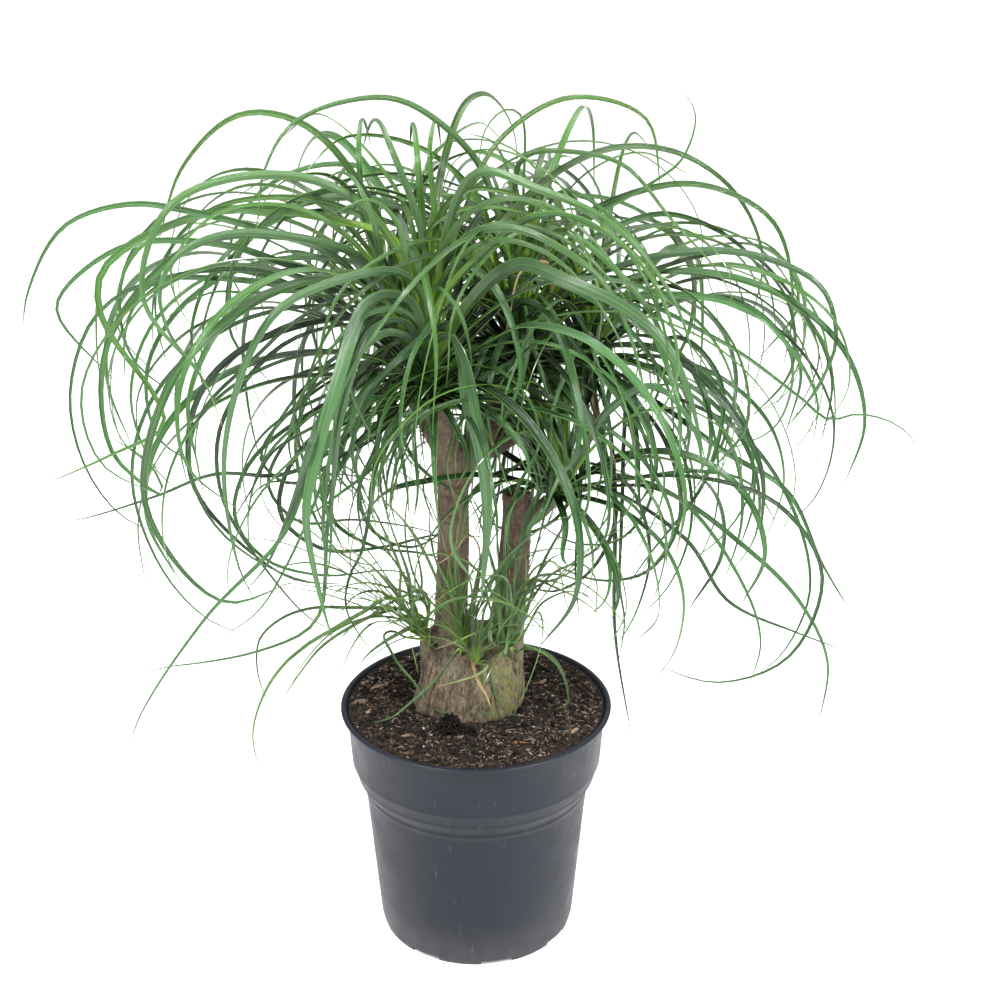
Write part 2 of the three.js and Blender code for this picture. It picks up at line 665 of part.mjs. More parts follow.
// The wood as capsules. Those with an own do not push the leaves that grow from it.
function woodCapsules() {
  const capsules = woodRuns.flatMap(({ run }) =>
    run.slice(1).map((end, i) => {
      const from = new THREE.Vector3(...run[i].slice(0, 3));
      const to = new THREE.Vector3(...end.slice(0, 3));
      const half = Math.max(run[i][3], end[3]) + 1;
      if (i === run.length - 2) to.lerp(from, Math.min(0.9, half / from.distanceTo(to)));
      return { from, to, half, own: [] };
    }),
  );
  for (const [name, head] of Object.entries(heads)) {
    const from = new THREE.Vector3(...head.base);
    const to = from.clone().addScaledVector(new THREE.Vector3(...head.lean).normalize(), head.heart);
    capsules.push({ from, to, half: head.radius + 1, own: [name] });
  }
  const [foot, top] = [baseRings[3], baseRings[6]].map(([z, x, y]) => new THREE.Vector3(x, y, z));
  capsules.push({ from: foot, to: top, half: baseRings[3][3] + 1, own: Object.keys(tufts) });
  return capsules;
}

// The pairs of stretches that could touch within the next few rounds.
function closePairs(stretches) {
  const span = (leaf) => leaf.run[0].distanceTo(leaf.run[1]);
  stretches.forEach((one) => {
    const [from, to] = [one.leaf.run[one.i], one.leaf.run[one.i + 1]];
    one.middle = new THREE.Vector3().addVectors(from, to).multiplyScalar(0.5);
  });
  const pairs = [];
  stretches.forEach((one, k) => {
    for (const other of stretches.slice(k + 1)) {
      const bothRoots = one.i < 1 && other.i < 1 && one.leaf.node === other.leaf.node;
      if (one.leaf === other.leaf || bothRoots) continue;
      const limit = bending.reach + (span(one.leaf) + span(other.leaf)) / 2;
      if (one.middle.distanceTo(other.middle) < limit) pairs.push([one, other]);
    }
  });
  return pairs;
}

// Shares a push out between the two ends of a stretch, by how near each is to the place pushed.
function shareOut({ leaf, i }, away, share) {
  leaf.push[i].addScaledVector(away, 1 - share);
  leaf.push[i + 1].addScaledVector(away, share);
}

function pushPair(one, other) {
  const [a, b] = [one.leaf.run[one.i], one.leaf.run[one.i + 1]];
  const [c, d] = [other.leaf.run[other.i], other.leaf.run[other.i + 1]];
  const [s, t] = nearestShares(a, b, c, d);
  const away = a.clone().lerp(b, s).sub(c.clone().lerp(d, t));
  const widths = one.half + other.half;
  const sameNode = one.leaf.node === other.leaf.node;
  const need = sameNode ? bending.ownShare * widths + bending.ownClear : widths + bending.clear;
  const distance = away.length();
  if (distance >= need || distance < 1e-6) return;
  away.multiplyScalar((0.5 * (need - distance)) / distance);
  shareOut(one, away, s);
  shareOut(other, away.negate(), t);
}

function pushOffWood(one, wood) {
  if (wood.own.includes(one.leaf.node)) return;
  const [a, b] = [one.leaf.run[one.i], one.leaf.run[one.i + 1]];
  const [s, t] = nearestShares(a, b, wood.from, wood.to);
  const away = a.clone().lerp(b, s).sub(wood.from.clone().lerp(wood.to, t));
  const distance = away.length();
  const need = wood.half + one.half;
  if (distance < need && distance > 1e-6) shareOut(one, away.multiplyScalar((need - distance) / distance), s);
}

function moveLeaf({ run, push }) {
  const clearRadius = rimRadius + bending.potClear;
  const clearTop = rimTop + bending.potClear;
  run.forEach((point, i) => {
    const spread = push[i].clone().multiplyScalar(0.6);
    spread.addScaledVector(push[Math.max(0, i - 1)], 0.2);
    spread.addScaledVector(push[Math.min(run.length - 1, i + 1)], 0.2);
    point.addScaledVector(spread, Math.min(1, 0.6 * i));
    const radius = Math.hypot(point.x, point.y);
    if (i < 2 || radius > clearRadius || point.z > clearTop) return;
    if (point.z > rimTop - 25) point.z = clearTop;
    else point.multiply(new THREE.Vector3(clearRadius / radius, clearRadius / radius, 1));
  });
}

// A blade along its run: three-sided, flat on top with a keel below, and drawn out to a point.
function bladeSolid(leaf) {
  const { run } = leaf;
  let side;
  const rings = run.map((centre, i) => {
    if (i === run.length - 1) return [centre];
    const before = run[Math.max(0, i - 1)];
    const direction = new THREE.Vector3().subVectors(run[i + 1], before).normalize();
    if (!side) [side] = across(direction);
    side.addScaledVector(direction, -side.dot(direction)).normalize();
    const under = new THREE.Vector3().crossVectors(direction, side);
    const half = Math.max(0.6, localWidth(leaf, i) / 2);
    return [
      centre.clone().addScaledVector(side, -half),
      centre.clone().addScaledVector(side, half),
      centre.clone().addScaledVector(under, bladeThick),
    ];
  });
  return solidOf(loft(rings));
}

// The heart that a head's leaves grow from: a short cone on the end of its limb.
function heartSolid(head) {
  const direction = new THREE.Vector3(...head.lean).normalize();
  const [side, other] = across(direction);
  const base = new THREE.Vector3(...head.base);
  const rings = [[gap, 1], [head.heart * 0.5, 0.82], [head.heart, 0.35]].map(([height, share]) =>
    [0, 1, 2, 3, 4, 5, 6, 7].map((k) => {
      const angle = (-k * Math.PI) / 4;
      return base
        .clone()
        .addScaledVector(direction, height)
        .addScaledVector(side, head.radius * share * Math.cos(angle))
        .addScaledVector(other, head.radius * share * Math.sin(angle));
    }),
  );
  return solidOf(loft(rings));
}

// A fused head without the small hollows and scraps that its crossing blades leave.
function headMesh(name, core, material) {
  const blades = leaves.filter((leaf) => leaf.node === name).map(bladeSolid);
  const fused = blades.reduce((sum, blade) => sum.add(blade), core);
  const bodies = fused.decompose().toSorted((a, b) => b.volume() - a.volume());
  return meshOf(name, bodies[0], material);
}

const leaves = growLeaves();
bendClear(leaves);

const palm = new THREE.Group();
palm.add(meshOf("pot", makePot(), materials.pot));
palm.add(meshOf("soil", makeSoil(), materials.soil));
palm.add(meshOf("trunk", makeTrunk(), materials.bark));
for (const [name, head] of Object.entries(heads)) {
  palm.add(headMesh(name, heartSolid(head), materials.leaf));
}
for (const [name, tuft] of Object.entries(tufts)) {
  palm.add(headMesh(name, solidOf(loft(tuftFoot(tuft, 0))), materials.sprout));
}

export default palm;
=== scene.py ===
# The looks of a potted ponytail palm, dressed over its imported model. Metres, +Z up, the front towards -Y.
import math

import bmesh
import bpy
import numpy as np
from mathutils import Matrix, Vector, noise


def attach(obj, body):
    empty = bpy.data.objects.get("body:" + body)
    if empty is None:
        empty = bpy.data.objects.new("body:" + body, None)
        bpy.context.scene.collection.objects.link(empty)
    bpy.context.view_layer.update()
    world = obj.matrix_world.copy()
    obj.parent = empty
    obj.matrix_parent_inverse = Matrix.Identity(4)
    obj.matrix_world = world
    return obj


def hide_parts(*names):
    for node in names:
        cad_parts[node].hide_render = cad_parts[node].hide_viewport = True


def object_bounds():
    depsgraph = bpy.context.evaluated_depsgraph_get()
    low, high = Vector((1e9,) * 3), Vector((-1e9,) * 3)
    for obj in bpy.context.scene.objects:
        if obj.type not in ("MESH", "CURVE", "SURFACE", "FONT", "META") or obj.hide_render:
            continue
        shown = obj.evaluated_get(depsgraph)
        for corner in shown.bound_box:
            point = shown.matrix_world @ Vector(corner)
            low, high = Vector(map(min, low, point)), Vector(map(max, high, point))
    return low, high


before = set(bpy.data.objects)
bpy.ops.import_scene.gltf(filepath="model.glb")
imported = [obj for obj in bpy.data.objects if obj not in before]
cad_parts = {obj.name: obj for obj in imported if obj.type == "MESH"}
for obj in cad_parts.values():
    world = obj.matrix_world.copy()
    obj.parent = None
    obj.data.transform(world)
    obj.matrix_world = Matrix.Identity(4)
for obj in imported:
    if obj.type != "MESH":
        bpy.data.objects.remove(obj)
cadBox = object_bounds()
print("frame loaded:", len(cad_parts), "nodes")

mm = 0.001


# Working with pieces

def selectOnly(piece):
    for other in list(bpy.context.selected_objects):
        other.select_set(False)
    bpy.context.view_layer.objects.active = piece
    piece.select_set(True)


def settle(piece):  # its place goes into its mesh
    selectOnly(piece)
    bpy.ops.object.transform_apply(location=True, rotation=True, scale=True)


def applyModifiers(piece):
    selectOnly(piece)
    for modifier in list(piece.modifiers):
        bpy.ops.object.modifier_apply(modifier=modifier.name)


def joinInto(piece, others):
    selectOnly(piece)
    for other in others:
        other.select_set(True)
    bpy.ops.object.join()
    return piece


def ownCopy(piece, name):  # a copy with its own mesh
    copy = piece.copy()
    copy.data = piece.data.copy()
    copy.name = name
    bpy.context.scene.collection.objects.link(copy)
    return copy


def readPoints(mesh):
    points = np.empty(len(mesh.vertices) * 3)
    mesh.vertices.foreach_get("co", points)
    return points.reshape(-1, 3)


def writePoints(mesh, points):
    mesh.vertices.foreach_set("co", np.asarray(points, np.float32).ravel())
    mesh.update()


def writeAttribute(mesh, name, values):
    attribute = mesh.attributes.get(name) or mesh.attributes.new(name, "FLOAT", "POINT")
    attribute.data.foreach_set("value", np.asarray(values, np.float32).ravel())


def selectVertices(piece, test):  # in edit mode, by place
    mesh = bmesh.from_edit_mesh(piece.data)
    for face in mesh.faces:
        face.select_set(False)
    for edge in mesh.edges:
        edge.select_set(False)
    for vertex in mesh.verts:
        vertex.select_set(test(vertex.co))
    mesh.select_flush(True)
    bmesh.update_edit_mesh(piece.data)


def dress(piece, material, slotName, *replaced):
    piece.data.materials.clear()
    piece.data.materials.append(material)
    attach(piece, "root")
    if replaced:
        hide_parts(*replaced)


# Random numbers that come out the same on every run

class Draws:
    def __init__(self, state):
        self.state = state

    def __call__(self, low, high):
        self.state = (self.state * 1664525 + 1013904223) % 4294967296
        return low + (high - low) * (self.state / 4294967296)


def within(low, value, high):
    return min(high, max(low, value))


def along(t, stops):  # the value at t of a line through pairs of place and value
    before, value = stops[0]
    for place, following in stops:
        if t <= place and place > before:
            return value + (following - value) * (t - before) / (place - before)
        before, value = place, following
    return value


# Building materials

def newMaterial(name):
    material = bpy.data.materials.new(name)
    material.use_nodes = True
    return material, material.node_tree, material.node_tree.nodes["Principled BSDF"]


def addNode(tree, kind, inputs, **settings):
    made = tree.nodes.new(kind)
    for setting, value in settings.items():
        setattr(made, setting, value)
    for socket, value in inputs.items():
        if isinstance(value, bpy.types.NodeSocket):
            tree.links.new(value, made.inputs[socket])
        else:
            made.inputs[socket].default_value = value
    return made


def addAttribute(tree, name):
    return addNode(tree, "ShaderNodeAttribute", {}, attribute_name=name).outputs["Fac"]


def addNoise(tree, vector, scale, detail=4, roughness=0.55):
    sockets = {"Vector": vector, "Scale": scale, "Detail": detail, "Roughness": roughness}
    return addNode(tree, "ShaderNodeTexNoise", sockets).outputs[0]


def addMath(tree, operation, first, second=0.0):
    return addNode(tree, "ShaderNodeMath", {0: first, 1: second}, operation=operation).outputs[0]


def addProduct(tree, first, second):
    return addMath(tree, "MULTIPLY", first, second)


def addSum(tree, first, *others):
    for other in others:
        first = addMath(tree, "ADD", first, other)
    return first


def addSpread(tree, value, low, high, toLow=0.0, toHigh=1.0):  # a smooth step between two values
    sockets = {"Value": value, "From Min": low, "From Max": high, "To Min": toLow, "To Max": toHigh}
    return addNode(tree, "ShaderNodeMapRange", sockets, interpolation_type="SMOOTHSTEP").outputs[0]


def addMix(tree, share, first, second):
    mix = addNode(tree, "ShaderNodeMix", {0: share}, data_type="RGBA")
    for socket, value in ((6, first), (7, second)):
        if isinstance(value, bpy.types.NodeSocket):
            tree.links.new(value, mix.inputs[socket])
        else:
            mix.inputs[socket].default_value = (*value, 1)
    return mix.outputs[2]


def addLayer(tree, under, colour, value, low, high, share=1.0):
    # A colour laid on as a value goes from low to high
    return addMix(tree, addSpread(tree, value, low, high, 0.0, share), under, colour)


def addBump(tree, height, depth, strength=1.0, under=None):
    sockets = {"Height": height, "Distance": depth, "Strength": strength}
    if under:
        sockets["Normal"] = under
    return addNode(tree, "ShaderNodeBump", sockets).outputs[0]


def addParts(tree, vector):
    return addNode(tree, "ShaderNodeSeparateXYZ", {"Vector": vector}).outputs


def addPlace(tree, scale=(1, 1, 1)):  # the place on the object, stretched
    place = addNode(tree, "ShaderNodeTexCoord", {}).outputs["Object"]
    return addNode(tree, "ShaderNodeMapping", {"Vector": place, "Scale": scale}).outputs[0]


def finishPaint(tree, shader, colour, roughness, specular, normal):
    tree.links.new(colour, shader.inputs["Base Color"])
    tree.links.new(normal, shader.inputs["Normal"])
    shader.inputs["Specular IOR Level"].default_value = specular
    if isinstance(roughness, bpy.types.NodeSocket):
        tree.links.new(roughness, shader.inputs["Roughness"])
    else:
        shader.inputs["Roughness"].default_value = roughness


# Camera, floor and lights

view = {
    "eye": (21.3, -1571.3, 1099.7),  # millimetres
    "down": 23.51,  # degrees
    "focal": 2015,  # pixels, in a frame 1000 pixels wide
    "aim": (0, 0, 0.42),  # of the lamps, metres
}

bpy.ops.object.camera_add(
    location=[c * mm for c in view["eye"]], rotation=(math.radians(90 - view["down"]), 0, 0)
)
camera = bpy.context.object
camera.data.sensor_width = 36
camera.data.lens = view["focal"] * 36 / 1000
camera.data.clip_end = 60
bpy.context.scene.camera = camera

studio = {
    "floor": (0.94, 0.94, 0.94),
    "glow": 0.32,  # of the floor itself
    "sky": (0.3, 0.92),  # at the horizon and overhead
    "lamps": [  # place, size, power
        ((-1.4, -1.1, 2.3), 0.45, 78),
        ((1.6, -1.2, 2.1), 0.45, 84),
        ((0.3, 1.7, 2.3), 1.6, 30),
    ],
}

bpy.ops.mesh.primitive_plane_add(size=60)
floor = bpy.context.object
floor.name = "floor"
floorPaint, tree, shader = newMaterial("floor_paint")
shader.inputs["Base Color"].default_value = (*studio["floor"], 1)
shader.inputs["Roughness"].default_value = 0.9
shader.inputs["Emission Color"].default_value = (1, 1, 1, 1)
shader.inputs["Emission Strength"].default_value = studio["glow"]
floor.data.materials.append(floorPaint)

for place, size, power in studio["lamps"]:
    bpy.ops.object.light_add(type="AREA", location=place)
    lamp = bpy.context.object
    lamp.data.size = size
    lamp.data.energy = power
    lamp.rotation_euler = (Vector(view["aim"]) - Vector(place)).to_track_quat("-Z", "Y").to_euler()

world = bpy.data.worlds.new("studio_sky")
bpy.context.scene.world = world
world.use_nodes = True
sky = world.node_tree
sky.nodes["Background"].inputs["Color"].default_value = (0.97, 0.985, 1, 1)
direction = addNode(sky, "ShaderNodeTexCoord", {}).outputs["Generated"]
overhead = addParts(sky, direction)[2]
horizon, zenith = studio["sky"]
brightness = addNode(sky, "ShaderNodeMapRange", {"Value": overhead, "To Min": horizon, "To Max": zenith})
sky.links.new(brightness.outputs[0], sky.nodes["Background"].inputs["Strength"])
bpy.context.scene.view_settings.view_transform = "Standard"
print("camera, floor and lights set")


# Pot

def turnPiece(name, profile, sides):
    # A ring is added at the first point, in millimetres, and drawn out from point to point
    radius, height = profile[0]
    bpy.ops.mesh.primitive_circle_add(
        vertices=sides, radius=radius * mm, location=(0, 0, height * mm), fill_type="NOTHING"
    )
    piece = bpy.context.object
    piece.name = name
    settle(piece)
    bpy.ops.object.mode_set(mode="EDIT")
    bpy.ops.mesh.select_all(action="SELECT")
    for nextRadius, nextHeight in profile[1:]:
        rise = (0, 0, (nextHeight - height) * mm)
        bpy.ops.mesh.extrude_region_move(TRANSFORM_OT_translate={"value": rise})
        share = nextRadius / radius
        bpy.ops.transform.resize(value=(share, share, 1), center_override=(0, 0, 0))
        radius, height = nextRadius, nextHeight
    bpy.ops.mesh.edge_face_add()
    firstRadius, firstHeight = profile[0]
    selectVertices(
        piece,
        lambda co: abs(co.z - firstHeight * mm) < 1e-6 and abs(co.xy.length - firstRadius * mm) < 1e-5,
    )
    bpy.ops.mesh.edge_face_add()
    bpy.ops.mesh.select_all(action="SELECT")
    bpy.ops.mesh.normals_make_consistent(inside=False)
    bpy.ops.object.mode_set(mode="OBJECT")
    return piece


pot = {
    "sides": 144,
    "outside": [
        (84.4, 0), (85.1, 0.4), (85.7, 1.2), (86.4, 3.4), (88, 10), (92.7, 62.3), (97.9, 122), (99.6, 137),
        (100.2, 141.4), (100.9, 142.2), (101.2, 143.6), (100.9, 145), (101.1, 146.2), (102.4, 148.6),
        (104.2, 151.4), (105.7, 154), (106.5, 155.2), (106.9, 156.6), (106.9, 157.8), (107.6, 159.8),
        (108.7, 162.8), (109.9, 166.6), (110.6, 168.2), (111, 169.4), (110.9, 170.8), (111.3, 173.4),
        (114.4, 216.2), (114.9, 217.4), (116, 217.9), (118.7, 218.1), (119.6, 218.5), (119.95, 219.4),
        (119.9, 220.4), (119.3, 221.2), (118.2, 221.62), (117.2, 221.7), (116.2, 221.5), (115.5, 220.8),
    ],
    "inside": [
        (114.4, 219.2), (113.5, 217.4), (112.9, 213), (109.4, 173), (108.6, 168), (107.3, 163.4),
        (104.2, 154.8), (101, 148.8), (99.2, 144.6), (98, 137), (96.2, 122), (91, 62), (86.2, 12),
        (83.6, 8.4), (82.4, 6.4), (82, 2),
    ],
    "channels": 8,
    "firstChannel": -77.4,  # degrees
    "spokes": [  # start, end, width, bottom, top and rounding, at every channel of the foot
        ("housings", "UNION", 58.2, 82.3, 32.2, 0.02, 6, 0),
        ("channels", "DIFFERENCE", 60, 92, 28.6, -3, 4, 1),
        ("slots", "DIFFERENCE", 69, 75, 16, 3, 8, 1),
    ],
    "smooth": 34,  # degrees, sharper edges stay sharp
    "greys": [(0.0112, 0.013, 0.019), (0.0164, 0.019, 0.0275)],
    "scuffed": (0.17, 0.18, 0.2),
    "dusty": (0.16, 0.15, 0.14),
}

potPiece = turnPiece("nursery_pot", pot["outside"] + pot["inside"], pot["sides"])


def spokeBoxes(name, start, end, wide, low, high, rounding):
    # Boxes on the spokes of the pot's foot, joined in one piece
    boxes = []
    for i in range(pot["channels"]):
        turn = math.radians(pot["firstChannel"] + i * 360 / pot["channels"])
        middle = (start + end) / 2 * mm
        bpy.ops.mesh.primitive_cube_add(
            size=1,
            location=(middle * math.cos(turn), middle * math.sin(turn), (low + high) / 2 * mm),
            rotation=(0, 0, turn),
            scale=((end - start) * mm, wide * mm, (high - low) * mm),
        )
        boxes.append(bpy.context.object)
    piece = joinInto(boxes[0], boxes[1:])
    piece.name = name
    settle(piece)
    if rounding:
        bevel = piece.modifiers.new("rounding", "BEVEL")
        bevel.width = rounding * mm
        bevel.segments = 3
        applyModifiers(piece)
    return piece


for name, operation, *box in pot["spokes"]:
    spokes = spokeBoxes(name, *box)
    boolean = potPiece.modifiers.new("cut", "BOOLEAN")
    boolean.operation = operation
    boolean.object = spokes
    boolean.solver = "EXACT"
    applyModifiers(potPiece)
    bpy.data.objects.remove(spokes)
selectOnly(potPiece)
bpy.ops.object.shade_smooth_by_angle(angle=math.radians(pot["smooth"]))

potPlastic, tree, shader = newMaterial("slate_grey_plastic")
place = addPlace(tree)
scuffs = addNoise(tree, addPlace(tree, (1, 1, 0.25)), 160, 6, 0.7)
height = addParts(tree, place)[2]
dust = addProduct(tree, addSpread(tree, height, 0.05, 0.0), addNoise(tree, place, 60, 6))
grey = addMix(tree, addNoise(tree, place, 9, 5), *pot["greys"])
grey = addLayer(tree, grey, pot["scuffed"], scuffs, 0.6, 0.74, 0.22)
grey = addMix(tree, addProduct(tree, dust, 0.35), grey, pot["dusty"])
rough = addSpread(tree, addNoise(tree, place, 35, 6, 0.65), 0.3, 0.7, 0.36, 0.5)
grain = addBump(tree, addNoise(tree, place, 900, 3), 0.00012, 0.35)
wavy = addBump(tree, addNoise(tree, place, 14, 2), 0.0012, 0.25, grain)
finishPaint(tree, shader, grey, rough, 0.17, wavy)
dress(potPiece, potPlastic, "pot_plastic", "pot")
print("pot turned")


# Soil

soilDraw = Draws(911)
soil = {
    "sides": 160,
    "rings": 44,
    "reach": 113.4,  # of the top, from the middle to the pot's wall
    "edge": 219,
    "mound": 1.8,
    "trunk": (-8, 1, 50, 40),  # middle and halves of the place that stays free
    "bumps": [(19, 2.4, 0.3), (6, 2.6, 0.1), (2.3, 1.9, 0.7)],  # width, height and level in the noise
    "wallSide": [
        (81.4, 6.8), (85.6, 12.2), (90.5, 62), (95.8, 122), (97.5, 137), (98.8, 144.8), (100.5, 149),
        (103.7, 155), (106.8, 163.6), (108.1, 168.2), (108.9, 173), (112.3, 212), (112.7, 216.6),
    ],
    "crumbs": 5200,
    "crumbReach": 113,
    "smallShare": 0.8,
    "smallSizes": (0.9, 2.7),
    "lumpSizes": (2.6, 5.6),
    "whiteShare": 0.008,  # of the small ones
    "whiteSize": 2.3,
    "clumpSizes": (1.6, 3.6),
    "flakeLengths": (3, 7), "flakeWidths": (1.4, 2.6), "flakeThick": 1.6,
    "flakeReach": 110,
    "fibres": 900,
    "fibreLengths": (2.5, 8),
    "fibreThickness": (4, 11),  # times the strand's 0.09
    "peat": [(0.005, 0.004, 0.003), (0.045, 0.03, 0.021)],
    "rusty": (0.07, 0.04, 0.024),
    "speck": (0.11, 0.06, 0.03),
    "crumb": [(0.006, 0.005, 0.004), (0.11, 0.075, 0.05)],
    "chip": (0.36, 0.26, 0.19),
    "rustyChip": (0.34, 0.12, 0.03),
    "white": (0.6, 0.58, 0.52),
    "spot": (0.004, 0.003, 0.002),
    "pieces": [  # place, length, width, height, turn and tone of chips and a clod that stand out
        (-103, 1, 15, 6, 3, 0.05, 0.87), (-90, 10, 12, 4, 2, 0.2, 0.95), (-88, 22, 13, 5, 3, 0.5, 0.92),
        (-80, 30, 9, 4, 3, 1.2, 0.9), (86, -50, 13, 6, 3, 0.9, 1.0), (38, -74, 11, 5, 3, 0.1, 1.2),
        (-72, 52, 10, 4, 3, 2.1, 0.92), (-22, -52, 22, 20, 15, 0.2, 0.02),
        (60, 36, 9, 4, 3, 0.3, 0.9), (-95, -16, 8, 4, 3, 1.0, 0.93), (-60, -62, 9, 4, 3, 0.4, 0.88),
    ],
    "whiteBits": [
        (-45, -49), (-38, -59), (-34, -63), (-44, -78), (-65, 41), (-56, 37), (-63, 88), (-56, 90),
        (-88, 62), (5, -58), (50, -52), (68, 8), (22, -62),
    ],
    "clumps": [  # place, reach, height and crumbs
        (-22, -53, 12, 19, 240), (-4, -58, 7, 7, 50), (38, -47, 7, 4, 30),
    ],
    "litter": [  # place, reach and flakes
        (-92, 34, 15, 34), (-78, 62, 14, 18), (92, -18, 15, 22), (40, -70, 26, 26),
    ],
}


def soilHeight(x, y):  # metres in and out
    reach = min(1.0, math.hypot(x, y) / (soil["reach"] * mm))
    lift = soil["mound"] * min(1, 2.2 * (1 - reach))
    bumps = 0
    for wide, tall, level in soil["bumps"]:
        bumps += tall * noise.noise(Vector((x, y, level)) / (wide * mm))
    return (soil["edge"] + lift + bumps * min(1, 7 * (1 - reach) + 0.12)) * mm


inward = [(112.4 * (1 - i / soil["rings"]) + 1.2, soil["edge"]) for i in range(soil["rings"])]
soilPiece = turnPiece("peat", soil["wallSide"] + inward, soil["sides"])
subdivide = soilPiece.modifiers.new("finer", "SUBSURF")
subdivide.subdivision_type = "SIMPLE"
subdivide.levels = subdivide.render_levels = 1
applyModifiers(soilPiece)
points = readPoints(soilPiece.data)
for point in points:
    if point[2] > (soil["edge"] - 0.2) * mm:
        point[2] = soilHeight(point[0], point[1])
writePoints(soilPiece.data, points)
selectOnly(soilPiece)
bpy.ops.object.shade_smooth()

peat, tree, shader = newMaterial("peat")
place = addPlace(tree)
clods = addNoise(tree, place, 240, 8, 0.7)
specks = addNode(tree, "ShaderNodeTexVoronoi", {"Vector": place, "Scale": 620.0}).outputs["Distance"]
brown = addMix(tree, addSpread(tree, clods, 0.38, 0.72), *soil["peat"])
brown = addLayer(tree, brown, soil["rusty"], addNoise(tree, place, 95, 4), 0.56, 0.7, 0.4)
brown = addLayer(tree, brown, soil["speck"], specks, 0.16, 0.06, 0.45)
lumpy = addBump(tree, addNoise(tree, place, 420, 8, 0.75), 0.0016, 0.9)
finishPaint(tree, shader, brown, 0.92, 0.25, lumpy)
dress(soilPiece, peat, "peat", "soil")


def crumbShapes(count, fineness):
    # Rough lumps about one unit across, each knocked out of a ball
    shapes = []
    for i in range(count):
        bpy.ops.mesh.primitive_ico_sphere_add(subdivisions=fineness, radius=0.5)
        lump = bpy.context.object
        points = readPoints(lump.data)
        for point in points:
            knock = noise.noise(Vector(point) * 2.6 + Vector((i * 3.7, 0, 0)))
            point *= 1 + 1.1 * knock
        points *= (1, soilDraw(0.5, 0.95), soilDraw(0.35, 0.75))
        writePoints(lump.data, points)
        shapes.append(lump)
    return shapes


def scatter(name, shapes, places):
    # places holds points in metres, sizes along three directions in millimetres, turns and tones
    copies = []
    for i, (place, size, turns, tone) in enumerate(places):
        copy = ownCopy(shapes[i % len(shapes)], f"{name}_{i}")
        cosines, sines = np.cos(turns), np.sin(turns)
        turnX = np.array([[1, 0, 0], [0, cosines[0], -sines[0]], [0, sines[0], cosines[0]]])
        turnZ = np.array([[cosines[1], -sines[1], 0], [sines[1], cosines[1], 0], [0, 0, 1]])
        points = readPoints(copy.data) * (np.array(size) * mm)
        writePoints(copy.data, points @ turnX.T @ turnZ.T + place)
        writeAttribute(copy.data, "tone", np.full(len(points), tone))
        copies.append(copy)
    for shape in shapes:
        bpy.data.objects.remove(shape)
    piece = joinInto(copies[0], copies[1:])
    piece.name = name
    selectOnly(piece)
    bpy.ops.object.shade_smooth()
    return piece


def freePlace(clear):  # a place on the soil that is clear of the trunk and the lip
    middleX, middleY, halfX, halfY = soil["trunk"]
    while True:
        radius = (soil["crumbReach"] - clear) * math.sqrt(soilDraw(0, 1))
        turn = soilDraw(0, 2 * math.pi)
        x, y = radius * math.cos(turn), radius * math.sin(turn)
        if ((x - middleX) / (halfX + clear)) ** 2 + ((y - middleY) / (halfY + clear)) ** 2 > 1:
            return x, y


def onSoil(x, y, lift):  # the place in metres that lies so many millimetres above the soil
    x, y = x * mm, y * mm
    return x, y, soilHeight(x, y) + lift * mm


smallPlaces, lumpPlaces = [], []
for _ in range(soil["crumbs"]):
    isSmall = soilDraw(0, 1) < soil["smallShare"]
    size = soilDraw(*soil["smallSizes" if isSmall else "lumpSizes"])
    place = onSoil(*freePlace(0.6 * size), 0.16 * size + 0.1)
    turns = (soilDraw(-0.9, 0.9), soilDraw(0, 6.28))
    tone = soilDraw(0, 1) if isSmall else soilDraw(0, 0.78)
    if isSmall and soilDraw(0, 1) < soil["whiteShare"]:
        tone = 1.5
    (smallPlaces if isSmall else lumpPlaces).append((place, (size,) * 3, turns, tone))
for x, y, reach, tall, count in soil["clumps"]:
    for _ in range(count):
        turn = soilDraw(0, 6.28)
        out = math.sqrt(soilDraw(0, 1))
        clumpX, clumpY = x + reach * out * math.cos(turn), y + 0.8 * reach * out * math.sin(turn)
        place = onSoil(clumpX, clumpY, soilDraw(0.3, 1) * tall * (1 - out * out))
        size = soilDraw(*soil["clumpSizes"])
        lumpPlaces.append((place, (size,) * 3, (soilDraw(-2, 2), turn), soilDraw(0, 0.3)))
for x, y, reach, count in soil["litter"]:
    for _ in range(count):
        place = onSoil(x + soilDraw(-reach, reach), y + soilDraw(-reach, reach), 1.3)
        if math.hypot(*place[:2]) > soil["flakeReach"] * mm:
            continue
        flake = (soilDraw(*soil["flakeLengths"]), soilDraw(*soil["flakeWidths"]), soil["flakeThick"])
        turns = (soilDraw(-0.7, 0.7), soilDraw(0, 6.28))
        smallPlaces.append((place, flake, turns, soilDraw(0.84, 1.0)))
for x, y in soil["whiteBits"]:
    lumpPlaces.append((onSoil(x, y, 0.6), (soil["whiteSize"],) * 3, (0.3, x), 1.5))
for x, y, long, wide, tall, turn, tone in soil["pieces"]:
    lumpPlaces.append((onSoil(x, y, 0.35 * tall), (long, wide, tall * 1.4), (0.2, turn), tone))
crumbs = scatter("peat_crumbs", crumbShapes(6, 1), smallPlaces)
crumbs = joinInto(crumbs, [scatter("lumps", crumbShapes(8, 2), lumpPlaces)])


